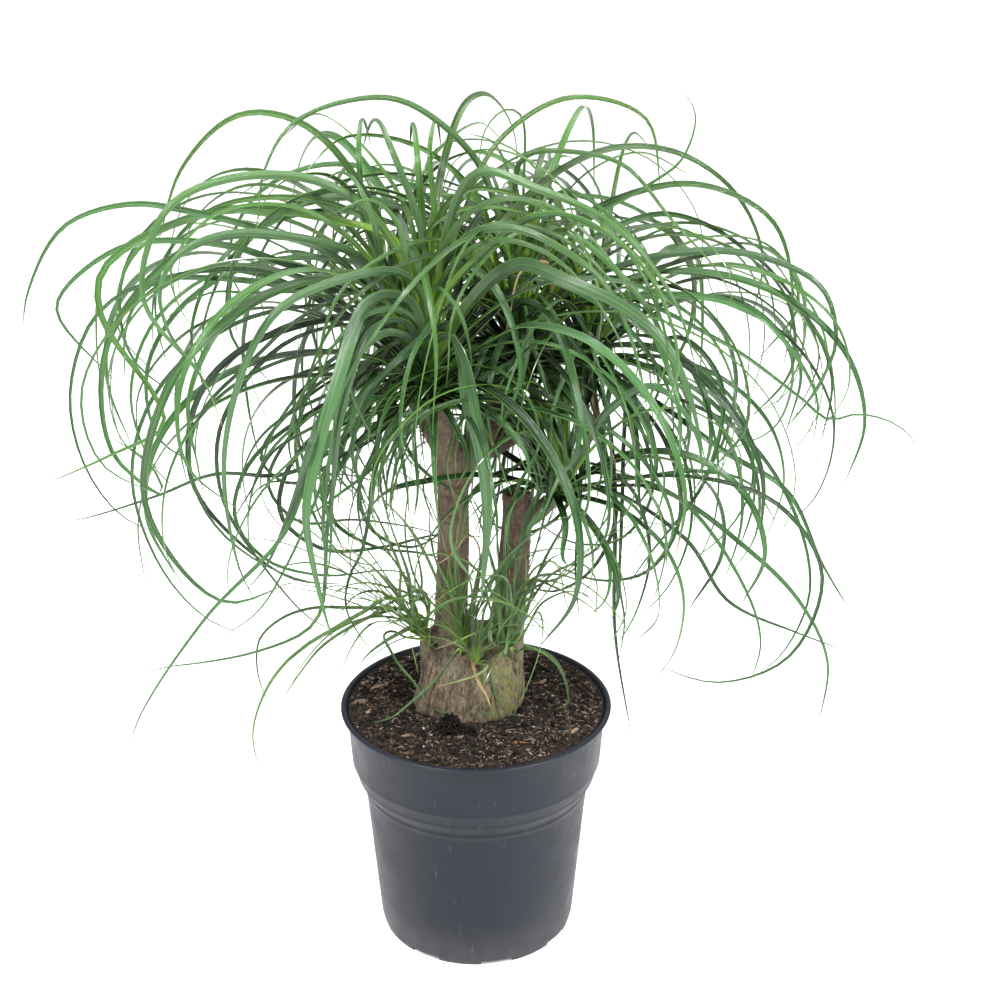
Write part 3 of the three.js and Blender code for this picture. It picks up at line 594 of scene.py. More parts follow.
def fibreShapes(count):
    # Thin bent strands a unit long, four-sided
    shapes = []
    for i in range(count):
        bpy.ops.mesh.primitive_cylinder_add(vertices=4, radius=0.045, depth=1, rotation=(0, math.pi / 2, 0))
        strand = bpy.context.object
        settle(strand)
        bpy.ops.object.mode_set(mode="EDIT")
        bpy.ops.mesh.select_all(action="SELECT")
        bpy.ops.mesh.subdivide(number_cuts=3)
        bpy.ops.object.mode_set(mode="OBJECT")
        points = readPoints(strand.data)
        bow = soilDraw(-1.1, 1.1)
        points[:, 1] += bow * (points[:, 0] ** 2 - 0.25)
        points[:, 2] -= abs(bow) * 0.4 * points[:, 0] ** 2
        writePoints(strand.data, points)
        shapes.append(strand)
    return shapes


fibrePlaces = []
for _ in range(soil["fibres"]):
    long = soilDraw(*soil["fibreLengths"])
    place = onSoil(*freePlace(0.5 * long), soilDraw(0.4, 1.4))
    turns = (soilDraw(-0.4, 0.4), soilDraw(0, 6.28))
    thick = soilDraw(*soil["fibreThickness"])
    fibrePlaces.append((place, (long, thick, thick), turns, soilDraw(0.6, 1.0)))
fibres = scatter("peat_fibres", fibreShapes(5), fibrePlaces)

crumbPeat, tree, shader = newMaterial("peat_crumbs")
place = addPlace(tree)
tone = addAttribute(tree, "tone")
brown = addMix(tree, addSpread(tree, tone, 0.3, 0.85), *soil["crumb"])
brown = addLayer(tree, brown, soil["chip"], tone, 0.8, 0.95)
brown = addLayer(tree, brown, soil["rustyChip"], tone, 1.05, 1.15)
brown = addLayer(tree, brown, soil["white"], tone, 1.3, 1.4)
brown = addMix(tree, addProduct(tree, addNoise(tree, place, 700, 5), 0.5), brown, soil["spot"])
gritty = addBump(tree, addNoise(tree, place, 1100, 5), 0.0006, 0.8)
finishPaint(tree, shader, brown, 0.9, 0.3, gritty)
dress(crumbs, crumbPeat, "peat")
dress(fibres, crumbPeat, "peat")
print("soil filled and crumbled")


# Routes of the leaves, in millimetres. The seen leaves and the rule are those of the solids, so that the
# fine blades lie where the solid ones do. Two leaves are narrower here, one in crown_left and
# one in crown_low_right. In a head, heart and radius are those of its core, turn and parting are
# degrees, length is a share, rule, thin and skirt count leaves, and limb holds places and half widths.

heads = {
    "crown_left": {
        "base": (-32, -12, 505), "lean": (-0.14, -0.2, 1), "heart": 48, "radius": 11,
        "turn": 20, "length": 1, "parting": 44, "rule": 29, "thin": 20, "skirt": 18,
        "limb": [(-19, 4, 430, 12), (-24, -2, 468, 11.5)],
    },
    "crown_back": {
        "base": (34, 52, 505), "lean": (0.1, 0.1, 1), "heart": 44, "radius": 10.5,
        "turn": 80, "length": 0.9, "parting": 14, "rule": 30, "thin": 44, "skirt": 12,
        "limb": [(-18, 6, 425, 12), (0, 24, 460, 12), (24, 44, 486, 11)],
    },
    "crown_rear_left": {
        "base": (-62, 76, 500), "lean": (-0.35, 0.4, 1), "heart": 40, "radius": 9.5,
        "turn": 130, "length": 0.9, "parting": 0, "rule": 30, "thin": 26, "skirt": 4,
        "limb": [(-20, 8, 424, 11), (-30, 36, 452, 10), (-48, 60, 480, 9.5)],
    },
    "crown_right": {
        "base": (91, 74, 502), "lean": (0.4, 0.1, 1), "heart": 34, "radius": 9,
        "turn": 10, "length": 0.8, "parting": 12, "rule": 26, "thin": 32, "skirt": 8,
        "limb": [(2, 26, 448, 10), (28, 42, 457, 9.5), (58, 57, 467, 9), (80, 67, 483, 9)],
    },
    "crown_low_right": {
        "base": (64, -2, 416), "lean": (0.7, -0.3, 1), "heart": 26, "radius": 7.5,
        "turn": 50, "length": 0.66, "parting": 30, "rule": 18, "thin": 34, "skirt": 7,
        "limb": [(36, 12, 386, 8.5), (52, 4, 402, 8)],
    },
}

# Width, how far the middle and the tip lie on the near side of the pot's axis, right and up pairs, and in
# some a tone
seenLeaves = {
    "crown_left": [
        (11, 30, 20, [(-60, 640), (-90, 695), (-140, 740), (-185, 745), (-230, 705), (-255, 640)]),
        (9, 60, 80, [(-110, 630), (-165, 655), (-225, 670), (-275, 675), (-330, 655), (-365, 595),
            (-370, 560)]),
        (9, 0, -30, [(-90, 600), (-150, 620), (-200, 640), (-280, 640), (-335, 600), (-340, 580),
            (-295, 520)]),
        (12, 90, 130, [(-65, 650), (-115, 695), (-195, 695), (-245, 670), (-270, 595), (-225, 525),
            (-210, 480)]),
        (12, 60, 60, [(-60, 640), (-115, 660), (-210, 665), (-300, 620), (-305, 580), (-265, 510),
            (-260, 485), (-305, 460), (-370, 430)]),
        (10, 120, 150, [(-75, 620), (-115, 640), (-195, 650), (-235, 635), (-255, 605), (-250, 565),
            (-220, 525)]),
        (10, 40, 60, [(-80, 625), (-140, 645), (-225, 640), (-300, 560), (-305, 460), (-265, 420),
            (-275, 450), (-310, 475)]),
        (12, 130, 120, [(-75, 615), (-155, 605), (-210, 570), (-250, 525), (-280, 410), (-220, 320),
            (-155, 340)]),
        (10, 160, 170, [(-60, 605), (-90, 615), (-165, 580), (-210, 465), (-205, 355), (-190, 315)]),
        (9, -40, -60, [(-80, 575), (-165, 565), (-220, 525), (-240, 475), (-235, 420), (-165, 345),
            (-125, 335)]),
        (9, -20, -40, [(-75, 590), (-115, 600), (-210, 615), (-265, 605), (-285, 570), (-290, 520)]),
        (6, 180, 150, [(-75, 590), (-100, 555), (-130, 475), (-160, 390), (-235, 305), (-305, 195),
            (-310, 160)]),
        (13, 170, 200, [(-60, 595), (-90, 590), (-115, 520), (-140, 435), (-145, 400), (-135, 325),
            (-125, 280)]),
        (9, 150, 170, [(-55, 580), (-85, 570), (-110, 500), (-120, 435), (-125, 365), (-130, 335)]),
        (14, 90, 110, [(-30, 560), (-18, 562), (-5, 500), (5, 460), (10, 400), (5, 320)]),
        (7, 60, 75, [(-34, 590), (-25, 605), (-12, 590), (-5, 555), (-5, 510)]),
        (12, 120, 160, [(-20, 640), (5, 700), (55, 685), (100, 665), (130, 640), (165, 590), (185, 530)]),
        (11, 110, 150, [(-15, 610), (5, 640), (40, 645), (70, 630), (105, 600), (130, 545), (145, 490)]),
        (13, 140, 190, [(-10, 600), (35, 635), (80, 620), (125, 595), (155, 565), (175, 525), (195, 450)]),
        (9, 0, -20, [(-60, 640), (-115, 675), (-195, 675), (-235, 650), (-260, 600), (-265, 550)]),
        (12, 30, -80, [(-40, 600), (-41, 660), (-44, 705), (-46, 733), (-48, 738), (-50, 720)]),
        (11, 45, -70, [(-50, 625), (-60, 675), (-67, 715), (-74, 735), (-82, 738), (-90, 715)]),
        (10, 0, -100, [(-25, 630), (-30, 675), (-34, 715), (-31, 738), (-28, 740), (-25, 718)]),
        (10, 5, -90, [(-65, 635), (-80, 675), (-86, 712), (-86, 735), (-84, 740), (-80, 722)]),
        (10, 60, 0, [(-60, 625), (-75, 655), (-90, 685), (-104, 700), (-118, 695)]),
        (7, 90, 110, [(-35, 550), (-60, 595), (-75, 605), (-90, 595), (-100, 550), (-115, 490), (-125, 435),
            (-130, 380), (-125, 330)]),
        (6, 30, 20, [(-70, 570), (-150, 560), (-210, 490), (-215, 420), (-180, 350), (-140, 300),
            (-110, 290)]),
    ],
    "crown_back": [
        (10, 20, 60, [(22, 665), (0, 715), (-50, 760), (-85, 765), (-140, 745), (-165, 705), (-175, 650)]),
        (4, -60, -60, [(80, 650), (140, 690), (165, 710), (175, 745), (165, 765)]),
        (9, -80, -90, [(75, 650), (120, 680), (180, 690), (240, 660), (260, 595), (255, 530)]),
        (10, -20, 20, [(80, 610), (130, 630), (180, 635), (240, 625), (285, 600), (300, 555), (285, 515),
            (260, 480)]),
        (10, -30, 0, [(70, 590), (145, 600), (200, 595), (240, 575), (285, 510), (285, 470)]),
        (10, 20, 60, [(40, 630), (70, 650), (120, 615), (150, 575), (170, 510), (170, 460)]),
        (9, -20, 0, [(30, 680), (40, 710), (75, 715), (120, 705), (160, 660), (200, 615), (215, 585)]),
        (8, -110, -130, [(70, 620), (120, 655), (160, 665), (210, 645), (240, 610), (250, 560)]),
        (12, 60, 100, [(38, 590), (52, 592), (75, 550), (85, 500), (85, 460), (70, 435), (55, 395)]),
        (10, 0, 60, [(40, 575), (30, 545), (0, 525), (-30, 505), (-50, 470)]),
        (6, -130, -160, [(90, 600), (215, 635), (250, 610), (280, 565), (285, 540), (265, 485)]),
        (4, -10, 10, [(100, 600), (200, 560), (270, 510), (295, 490), (320, 495), (355, 485), (385, 455)]),
        (9, 30, 60, [(30, 560), (18, 535), (12, 500), (16, 460)]),
        (8, 10, 50, [(48, 575), (52, 545), (46, 500), (50, 450)]),
        (8, 0, 40, [(58, 575), (76, 545), (86, 500), (80, 440)]),
        (8, 30, 45, [(26, 560), (8, 545), (-4, 510), (-6, 470)]),
    ],
    "crown_right": [
        (8, -40, -20, [(150, 500), (210, 460), (265, 425), (300, 355), (330, 305)]),
        (7, -20, 0, [(120, 540), (170, 560), (205, 520), (195, 435), (150, 365), (125, 325)]),
        (6, -30, -20, [(110, 500), (118, 450), (120, 380), (122, 290), (140, 180)]),
        (8, 10, 40, [(90, 560), (72, 545), (60, 505), (58, 455)]),
        (8, -10, 20, [(108, 560), (114, 535), (108, 480), (112, 425)]),
    ],
    "crown_low_right": [
        (6, 30, 30, [(110, 432), (195, 435), (260, 410), (300, 345), (275, 265), (215, 240), (150, 260)]),
        (7, 0, 0, [(150, 430), (240, 365), (285, 315), (310, 260), (305, 190)]),
        (9, 60, 90, [(95, 460), (115, 500), (150, 520), (185, 480), (195, 420)]),
        (6, 0, 20, [(105, 430), (150, 435), (190, 440), (230, 430), (260, 390)]),
    ],
    "sprout_left": [
        (4, 40, 90, [(-70, 320), (-100, 295), (-155, 270), (-185, 235), (-200, 185), (-195, 145)]),
    ],
}

tufts = {
    "sprout_left": {
        "base": (-38, -8, 282), "lean": (-0.7, -0.4, 0.85), "radius": 4.2, "turn": 15, "length": 190,
        "rule": 9, "thin": 12,
    },
    "sprout_front": {
        "base": (-9, -17, 277), "lean": (-0.25, -0.3, 1), "radius": 3.8, "turn": 80, "length": 165,
        "rule": 8, "thin": 16,
    },
    "sprout_front_low": {
        "base": (-1, -23, 268), "lean": (0.1, -0.6, 0.9), "radius": 3.2, "turn": 200, "length": 120,
        "rule": 5, "thin": 5,
    },
    "sprout_right": {
        "base": (25, -9, 276), "lean": (0.2, -0.35, 1), "radius": 4, "turn": 120, "length": 180,
        "rule": 7, "thin": 14,
    },
}

stems = {  # places and half widths
    "left": [
        (-16, 4, 234, 24), (-20, 4, 254, 20), (-21, 4, 280, 17), (-21, 5, 305, 15), (-19, 5, 380, 14),
        (-19, 4, 440, 13.5), (-20, 4, 462, 12),
    ],
    "right": [
        (22, 4, 234, 19), (26, 4, 254, 17), (27, 5, 280, 16), (29, 7, 305, 15.5), (33, 9, 350, 13.8),
        (36, 10, 400, 13.2), (35, 10, 420, 12.5),
    ],
    "leftStub": [(-37, 0, 250, 12), (-40, -1, 280, 10.5), (-41, -1, 293, 8.5)],
    "middleStub": [(8, -8, 246, 13), (9, -12, 268, 10), (9, -13, 276, 8)],
    "crotch": [(4, 4, 248, 22), (5, 4, 280, 14), (6, 5, 299, 7)],
}
swollenBase = {"foot": (-10, 1, 204), "top": (-4, 2, 266), "half": 51}

leafRule = {
    "widths": [(0, 0.6), (0.12, 1), (0.55, 0.9), (0.8, 0.62), (1, 0.2)],  # along a leaf of the solids
    "starts": [(0, 10), (0.4, 48), (0.75, 70), (1, 82)],  # degrees, by age
    "falls": [(0, 118), (0.45, 200), (0.9, 210), (1, 120)],  # degrees, by age
    "lengths": [(0, 400), (0.4, 515), (0.8, 490), (0.92, 400), (1, 250)],  # by age
    "powers": [(0, 1.1), (0.8, 1.3), (1, 2.6)],  # by age
    "startSpread": (-3, 3), "fallSpread": (0.82, 1.12),
    "powerSpread": (-0.1, 0.25), "lengthSpread": (0.86, 1.04),
    "tilt": 24,  # degrees, of the leaves on the low side of a leaning head
    "sweep": 38,  # degrees to either side
    "frontReach": math.radians(80),  # leaves this near the front sweep away from it
    "curl": 220, "lift": (-70, 50), "late": 0.62,  # of wild leaves: degrees, and where these begin
    "goldenTurn": 137.508,  # degrees from one leaf to the next
    "unevenTurn": 9,  # and to either side of it
    "widest": 10.6, "widthShares": (0.55, 1.02),
    "stretch": 66,  # between the places of a run
    "rows": 90,  # of a fine line
    "tuftLength": 545,  # of a tuft's leaf at size 1
    "tuftHeart": 14,
    "tuftSizes": (0.8, 1.15), "tuftWidths": (2.6, 3.6),
    "droops": (0.4, 1.3), "swing": 1.1,
    "sproutPlaces": 6,
}
upward = np.array([0.0, 0.0, 1.0])
eye = np.array(view["eye"])


def unit(vector):
    vector = np.asarray(vector, float)
    return vector / np.linalg.norm(vector)


def smoothLine(points, count):
    # Evenly spaced places along a smooth line through the points
    points = np.asarray(points, float)
    before = 2 * points[0] - points[1]
    after = 2 * points[-1] - points[-2]
    p = np.vstack([before, points, after])
    steps = np.maximum(np.sum(np.diff(p, axis=0) ** 2, axis=1) ** 0.25, 1e-4)
    t = np.linspace(0, 1, 201) * (len(points) - 1)
    i = np.minimum(t.astype(int), len(points) - 2)
    w = (t - i)[:, None]
    x0, x1, x2, x3 = p[i], p[i + 1], p[i + 2], p[i + 3]
    d0, d1, d2 = (steps[i + k][:, None] for k in range(3))
    m1 = ((x1 - x0) / d0 - (x2 - x0) / (d0 + d1) + (x2 - x1) / d1) * d1
    m2 = ((x2 - x1) / d1 - (x3 - x1) / (d1 + d2) + (x3 - x2) / d2) * d1
    line = x1 + m1 * w + (3 * (x2 - x1) - 2 * m1 - m2) * w**2 + (2 * (x1 - x2) + m1 + m2) * w**3
    lengthsAlong = np.concatenate([[0], np.cumsum(np.linalg.norm(np.diff(line, axis=0), axis=1))])
    wanted = np.linspace(0, lengthsAlong[-1], count)
    return np.stack([np.interp(wanted, lengthsAlong, line[:, k]) for k in range(3)], axis=1)


def lineLength(points):
    line = smoothLine(points, 201)
    return np.sum(np.linalg.norm(np.diff(line, axis=0), axis=1))


def stretchCount(length):
    return max(5, math.floor(length / leafRule["stretch"] + 0.5))


def partOf(node):
    return heads.get(node) or tufts[node]


def rootOf(head, age, azimuth):  # the older a leaf, the lower and farther out on the core it stands
    height = 8 + (head.get("heart", leafRule["tuftHeart"]) - 12) * age
    inset = 0.5 * head["radius"] * (1 - 0.6 * age)
    out = np.array([math.cos(azimuth), math.sin(azimuth), 0])
    return np.array(head["base"], float) + unit(head["lean"]) * height + out * inset


def ruleRun(draw, head, age, turned, size, wild=0.0):
    # wild leaves fall, sweep and curl more than the rule's own
    off = math.remainder(turned + math.pi / 2, 2 * math.pi)
    gap = math.radians(head["parting"]) * (1 - 0.6 * age)
    off = math.copysign(gap + abs(off) * (1 - gap / math.pi), off)
    azimuth = off - math.pi / 2
    lean = head["lean"]
    leanAway = math.atan2(lean[1], lean[0])
    tilt = leafRule["tilt"] * math.hypot(lean[0], lean[1]) * math.cos(azimuth - leanAway)
    start = along(age, leafRule["starts"]) + draw(*leafRule["startSpread"]) - tilt
    fall = along(age, leafRule["falls"]) * draw(*leafRule["fallSpread"])
    power = along(age, leafRule["powers"]) + draw(*leafRule["powerSpread"])
    sweep = math.radians(draw(-leafRule["sweep"], leafRule["sweep"])) * (1 + wild)
    if abs(off) < leafRule["frontReach"]:
        sweep = math.copysign(sweep, off)
    front = max(0, -math.sin(azimuth)) * (1 - age)
    length = along(age, leafRule["lengths"]) * size * draw(*leafRule["lengthSpread"]) * (1 - 0.5 * front)
    curl = math.radians(draw(-leafRule["curl"], leafRule["curl"])) * wild if wild else 0
    lift = draw(*leafRule["lift"]) * wild if wild else 0
    steps = 4 * stretchCount(length)
    point = rootOf(head, age, azimuth)
    run = [point.copy()]
    for i in range(steps):
        s = (i + 0.5) / steps
        late = max(0, s - leafRule["late"]) ** 2
        rise = math.radians(start - fall * s**power + lift * late * 6)
        heading = azimuth + sweep * s * s + curl * late * 3
        point = point + np.array([
            math.cos(rise) * math.cos(heading), math.cos(rise) * math.sin(heading), math.sin(rise)
        ]) * (length / steps)
        if i % 4 == 3:
            run.append(point.copy())
    return np.array(run)


def ruleLeaf(node, width, run, age):
    return {"node": node, "width": width, "run": run, "age": age, "seen": False}


def seenLeaf(node, row):
    head = partOf(node)
    width, middle, tip, pairs = row[:4]
    nears = [(0, -head["base"][1]), (0.5, middle), (1, tip)]
    points = []
    for i, (right, height) in enumerate(pairs):
        point = np.array([right, 0.0, height])
        points.append(point + unit(eye - point) * along((i + 1) / len(pairs), nears))
    outward = points[0] - np.array(head["base"])
    level = math.hypot(outward[0], outward[1])
    heart = head.get("heart", leafRule["tuftHeart"])
    angle = math.degrees(math.atan2(outward[2] - heart * 0.6, level))
    age = within(0.1, angle / 90, 0.95)
    points = [rootOf(head, age, math.atan2(outward[1], outward[0])), *points]
    run = smoothLine(points, stretchCount(lineLength(points)) + 1)
    tone = row[4] if len(row) > 4 else None
    line = smoothLine(points, leafRule["rows"])
    return {
        "node": node, "width": width, "run": run, "age": age, "seen": True,
        "line": line, "start": run, "tone": tone,
    }


def tuftRun(draw, tuft, age, azimuth, size, wild=0.0):
    outward = unit(tuft["lean"])
    fan = np.array([math.cos(azimuth), math.sin(azimuth), 0.35])
    direction = unit(outward * 0.9 + fan * 0.55 * (1.2 - age) + upward * 0.9 * age)
    length = leafRule["tuftLength"] * size
    droop = draw(*leafRule["droops"]) * (1 + wild)
    swing = 0 * upward
    if wild:
        aside = unit(np.cross(direction, upward))
        swing = aside * (draw(-leafRule["swing"], leafRule["swing"]) * wild)
    steps = 4 * (leafRule["sproutPlaces"] - 1)
    point = np.array(tuft["base"], float) + outward * (3 + 9 * age)
    run = [point.copy()]
    for i in range(steps):
        point = point + direction * (length / steps)
        direction = unit(direction + (upward * (-droop * 2 * (i + 1)) / steps + swing * 2) / steps)
        if i % 4 == 3:
            run.append(point.copy())
    return np.array(run)


def growLeaves(draw):
    grown = []
    uneven = leafRule["unevenTurn"]
    for node, head in heads.items():
        grown += [seenLeaf(node, row) for row in seenLeaves.get(node, [])]
        for i in range(head["rule"]):
            age = i / (head["rule"] - 1)
            azimuth = math.radians(head["turn"] + i * leafRule["goldenTurn"] + draw(-uneven, uneven))
            width = (leafRule["widest"] - 2 * age) * draw(*leafRule["widthShares"])
            run = ruleRun(draw, head, age, azimuth, head["length"])
            grown.append(ruleLeaf(node, width, run, age))
    for node, tuft in tufts.items():
        grown += [seenLeaf(node, row) for row in seenLeaves.get(node, [])]
        for i in range(tuft["rule"]):
            age = 0.25 + 0.6 * i / (tuft["rule"] - 1)
            azimuth = math.radians(tuft["turn"] + i * leafRule["goldenTurn"])
            size = tuft["length"] / leafRule["tuftLength"] * draw(*leafRule["tuftSizes"])
            width = draw(*leafRule["tuftWidths"])
            run = tuftRun(draw, tuft, age, azimuth, size)
            grown.append(ruleLeaf(node, width, run, age))
    return grown


bending = {
    "rounds": 120, "thinRounds": 30,
    "refresh": 10,  # rounds for which the pairs of near stretches are kept
    "reach": 45,
    "ownShare": 0.9, "ownClear": 1.2,  # in the same node
    "clear": 1.7,  # from other nodes
    "potClear": 8,
    "freedom": 0.6,  # of a leaf's second place
    "shares": (0.6, 0.2),  # of a push: its own place and the ones beside it
}
potLip = {"radius": 120, "top": 221.7, "depth": 25}


def woodCapsules():
    # Ends, half widths and the nodes whose leaves grow from each, which it doesn't push
    runs = list(stems.values()) + [[*h["limb"], (*h["base"], h["radius"])] for h in heads.values()]
    capsules = []
    for run in runs:
        for i, (start, end) in enumerate(zip(run, run[1:])):
            origin, tip = np.array(start[:3], float), np.array(end[:3], float)
            half = max(start[3], end[3]) + 1
            if i == len(run) - 2:
                tip = tip + (origin - tip) * min(0.9, half / np.linalg.norm(tip - origin))
            capsules.append((origin, tip, half, ()))
    for name, head in heads.items():
        origin = np.array(head["base"], float)
        capsules.append((origin, origin + unit(head["lean"]) * head["heart"], head["radius"] + 1, (name,)))
    foot, top = np.array(swollenBase["foot"], float), np.array(swollenBase["top"], float)
    capsules.append((foot, top, swollenBase["half"] + 1, tuple(tufts)))
    return capsules


def nearestShares(a, b, c, d):
    # How far along each of two stretches, row by row, their nearest points lie
    first, second, between = b - a, d - c, a - c
    ff, ss, fs = (first**2).sum(1), (second**2).sum(1), (first * second).sum(1)
    fb, sb = (first * between).sum(1), (second * between).sum(1)
    spread = ff * ss - fs * fs
    safe = np.where(spread > 1e-9, spread, 1)
    s = np.where(spread > 1e-9, np.clip((fs * sb - fb * ss) / safe, 0, 1), 0)
    t = (fs * s + sb) / ss
    outside = (t < 0) | (t > 1)
    t = np.clip(t, 0, 1)
    s = np.where(outside, np.clip((fs * t - fb) / ff, 0, 1), s)
    return s[:, None], t[:, None]


def bendClear(leaves, rounds, pushLeaves):
    # Bends the leaves clear of one another, of the wood and of the pot, as the solids are
    counts = [len(leaf["run"]) for leaf in leaves]
    firsts = np.concatenate([[0], np.cumsum(counts)[:-1]])
    points = np.vstack([leaf["run"] for leaf in leaves])
    ofLeaf = np.repeat(np.arange(len(leaves)), counts)
    number = np.arange(len(points)) - firsts[ofLeaf]
    lasts = np.array(counts)[ofLeaf] - 1
    isStretch = number < lasts
    start = np.nonzero(isStretch)[0]
    leafOf, numberOf = ofLeaf[start], number[start]
    nodes = np.array([leaf["node"] for leaf in leaves])
    half = np.array([
        leaves[leaf]["width"] * along(i / last, leafRule["widths"]) / 2
        for leaf, i, last in zip(leafOf, numberOf, lasts[start])
    ])
    capsules = woodCapsules()
    pushed = [~np.isin(nodes[leafOf], spared) for _, _, _, spared in capsules]
    previous = np.where(number > 0, np.arange(len(points)) - 1, np.arange(len(points)))
    following = np.where(isStretch, np.arange(len(points)) + 1, np.arange(len(points)))
    freedom = np.minimum(1, bending["freedom"] * number)[:, None]
    own, beside = bending["shares"]
    clearRadius, clearTop = potLip["radius"] + bending["potClear"], potLip["top"] + bending["potClear"]
    one = other = np.array([], int)
    for turn in range(rounds):
        if pushLeaves and turn % bending["refresh"] == 0:
            middle = (points[start] + points[start + 1]) / 2
            spans = np.linalg.norm(points[firsts + 1] - points[firsts], axis=1)[leafOf]
            one, other = np.triu_indices(len(start), 1)
            apart = np.linalg.norm(middle[one] - middle[other], axis=1)
            near = apart < bending["reach"] + (spans[one] + spans[other]) / 2
            one, other = one[near], other[near]
            sameNode = nodes[leafOf[one]] == nodes[leafOf[other]]
            roots = (numberOf[one] < 1) & (numberOf[other] < 1) & sameNode
            keep = (leafOf[one] != leafOf[other]) & ~roots
            one, other, sameNode = one[keep], other[keep], sameNode[keep]
            widths = half[one] + half[other]
            ownNeed = bending["ownShare"] * widths + bending["ownClear"]
            need = np.where(sameNode, ownNeed, widths + bending["clear"])
        push = np.zeros_like(points)
        if len(one):
            a, c = start[one], start[other]
            s, t = nearestShares(points[a], points[a + 1], points[c], points[c + 1])
            away = points[a] + (points[a + 1] - points[a]) * s - points[c] - (points[c + 1] - points[c]) * t
            distance = np.linalg.norm(away, axis=1)
            close = (distance < need) & (distance > 1e-6)
            a, c, s, t = a[close], c[close], s[close], t[close]
            away = away[close] * (0.5 * (need[close] - distance[close]) / distance[close])[:, None]
            np.add.at(push, a, away * (1 - s))
            np.add.at(push, a + 1, away * s)
            np.add.at(push, c, away * (t - 1))
            np.add.at(push, c + 1, -away * t)
        for (origin, tip, thick, _), mask in zip(capsules, pushed):
            a = start[mask]
            ends = np.broadcast_to(origin, (len(a), 3)), np.broadcast_to(tip, (len(a), 3))
            s, t = nearestShares(points[a], points[a + 1], *ends)
            away = points[a] + (points[a + 1] - points[a]) * s - origin - (tip - origin) * t
            distance = np.linalg.norm(away, axis=1)
            wanted = thick + half[mask]
            close = (distance < wanted) & (distance > 1e-6)
            a, s = a[close], s[close]
            away = away[close] * ((wanted[close] - distance[close]) / distance[close])[:, None]
            np.add.at(push, a, away * (1 - s))
            np.add.at(push, a + 1, away * s)
        points = points + (own * push + beside * push[previous] + beside * push[following]) * freedom
        radius = np.hypot(points[:, 0], points[:, 1])
        inPot = (number >= 2) & (radius <= clearRadius) & (points[:, 2] <= clearTop)
        onLip = inPot & (points[:, 2] > potLip["top"] - potLip["depth"])
        points[onLip, 2] = clearTop
        inside = inPot & ~onLip
        points[inside, :2] *= (clearRadius / radius[inside])[:, None]
    for leaf, first, count in zip(leaves, firsts, counts):
        leaf["run"] = points[first:first + count]


leaves = growLeaves(Draws(20417))
bendClear(leaves, bending["rounds"], True)
print("leaves of the solids grown:", len(leaves))


# Thin leaves between them, kept inside the plant's outline in the photo. The corners are pixels.
windows = {
    "outline": [
        (150, 640), (100, 560), (82, 470), (70, 390), (58, 310), (75, 240), (130, 180), (190, 130),
        (260, 105), (340, 92), (430, 98), (520, 112), (620, 130), (700, 165), (770, 215), (815, 280),
        (838, 350), (832, 430), (812, 500), (815, 560), (770, 620), (720, 590), (680, 575), (640, 610),
        (600, 650), (560, 650), (530, 640), (440, 640), (400, 650), (330, 640), (270, 690), (200, 660),
    ],
    "stems": [(426, 425), (482, 425), (500, 490), (545, 500), (545, 700), (400, 700)],
    "sparse": [  # few leaves hang here
        [(170, 290), (345, 290), (345, 490), (170, 490)],
        [(590, 310), (800, 310), (800, 500), (590, 500)],
    ],
    "outside": 0.12,  # how much of a leaf may lie outside
    "inFront": 0.02,  # and in front of the stems, which stand open
    "inSparse": 0.3,
}


def photoPixels(points):
    down = math.radians(view["down"])
    away = points - eye
    ahead = away[:, 1] * math.cos(down) - away[:, 2] * math.sin(down)
    above = away[:, 1] * math.sin(down) + away[:, 2] * math.cos(down)
    return 500 + view["focal"] * away[:, 0] / ahead, 500 - view["focal"] * above / ahead


def isWithin(outline, across, downward):
    inside = np.zeros(len(across), bool)
    for (x0, y0), (x1, y1) in zip(outline, outline[1:] + outline[:1]):
        crosses = (y0 > downward) != (y1 > downward)
        inside ^= crosses & (across < x0 + (x1 - x0) * (downward - y0) / ((y1 - y0) or 1e-9))
    return inside


def strays(points):  # a leaf that leaves the outline, or hangs where few leaves do
    across, downward = photoPixels(points)
    outside = 1 - isWithin(windows["outline"], across, downward).mean()
    inFront = (isWithin(windows["stems"], across, downward) & (points[:, 1] < 0)).mean()
    inSparse = max(isWithin(window, across, downward).mean() for window in windows["sparse"])
    return outside > windows["outside"] or inFront > windows["inFront"] or inSparse > windows["inSparse"]


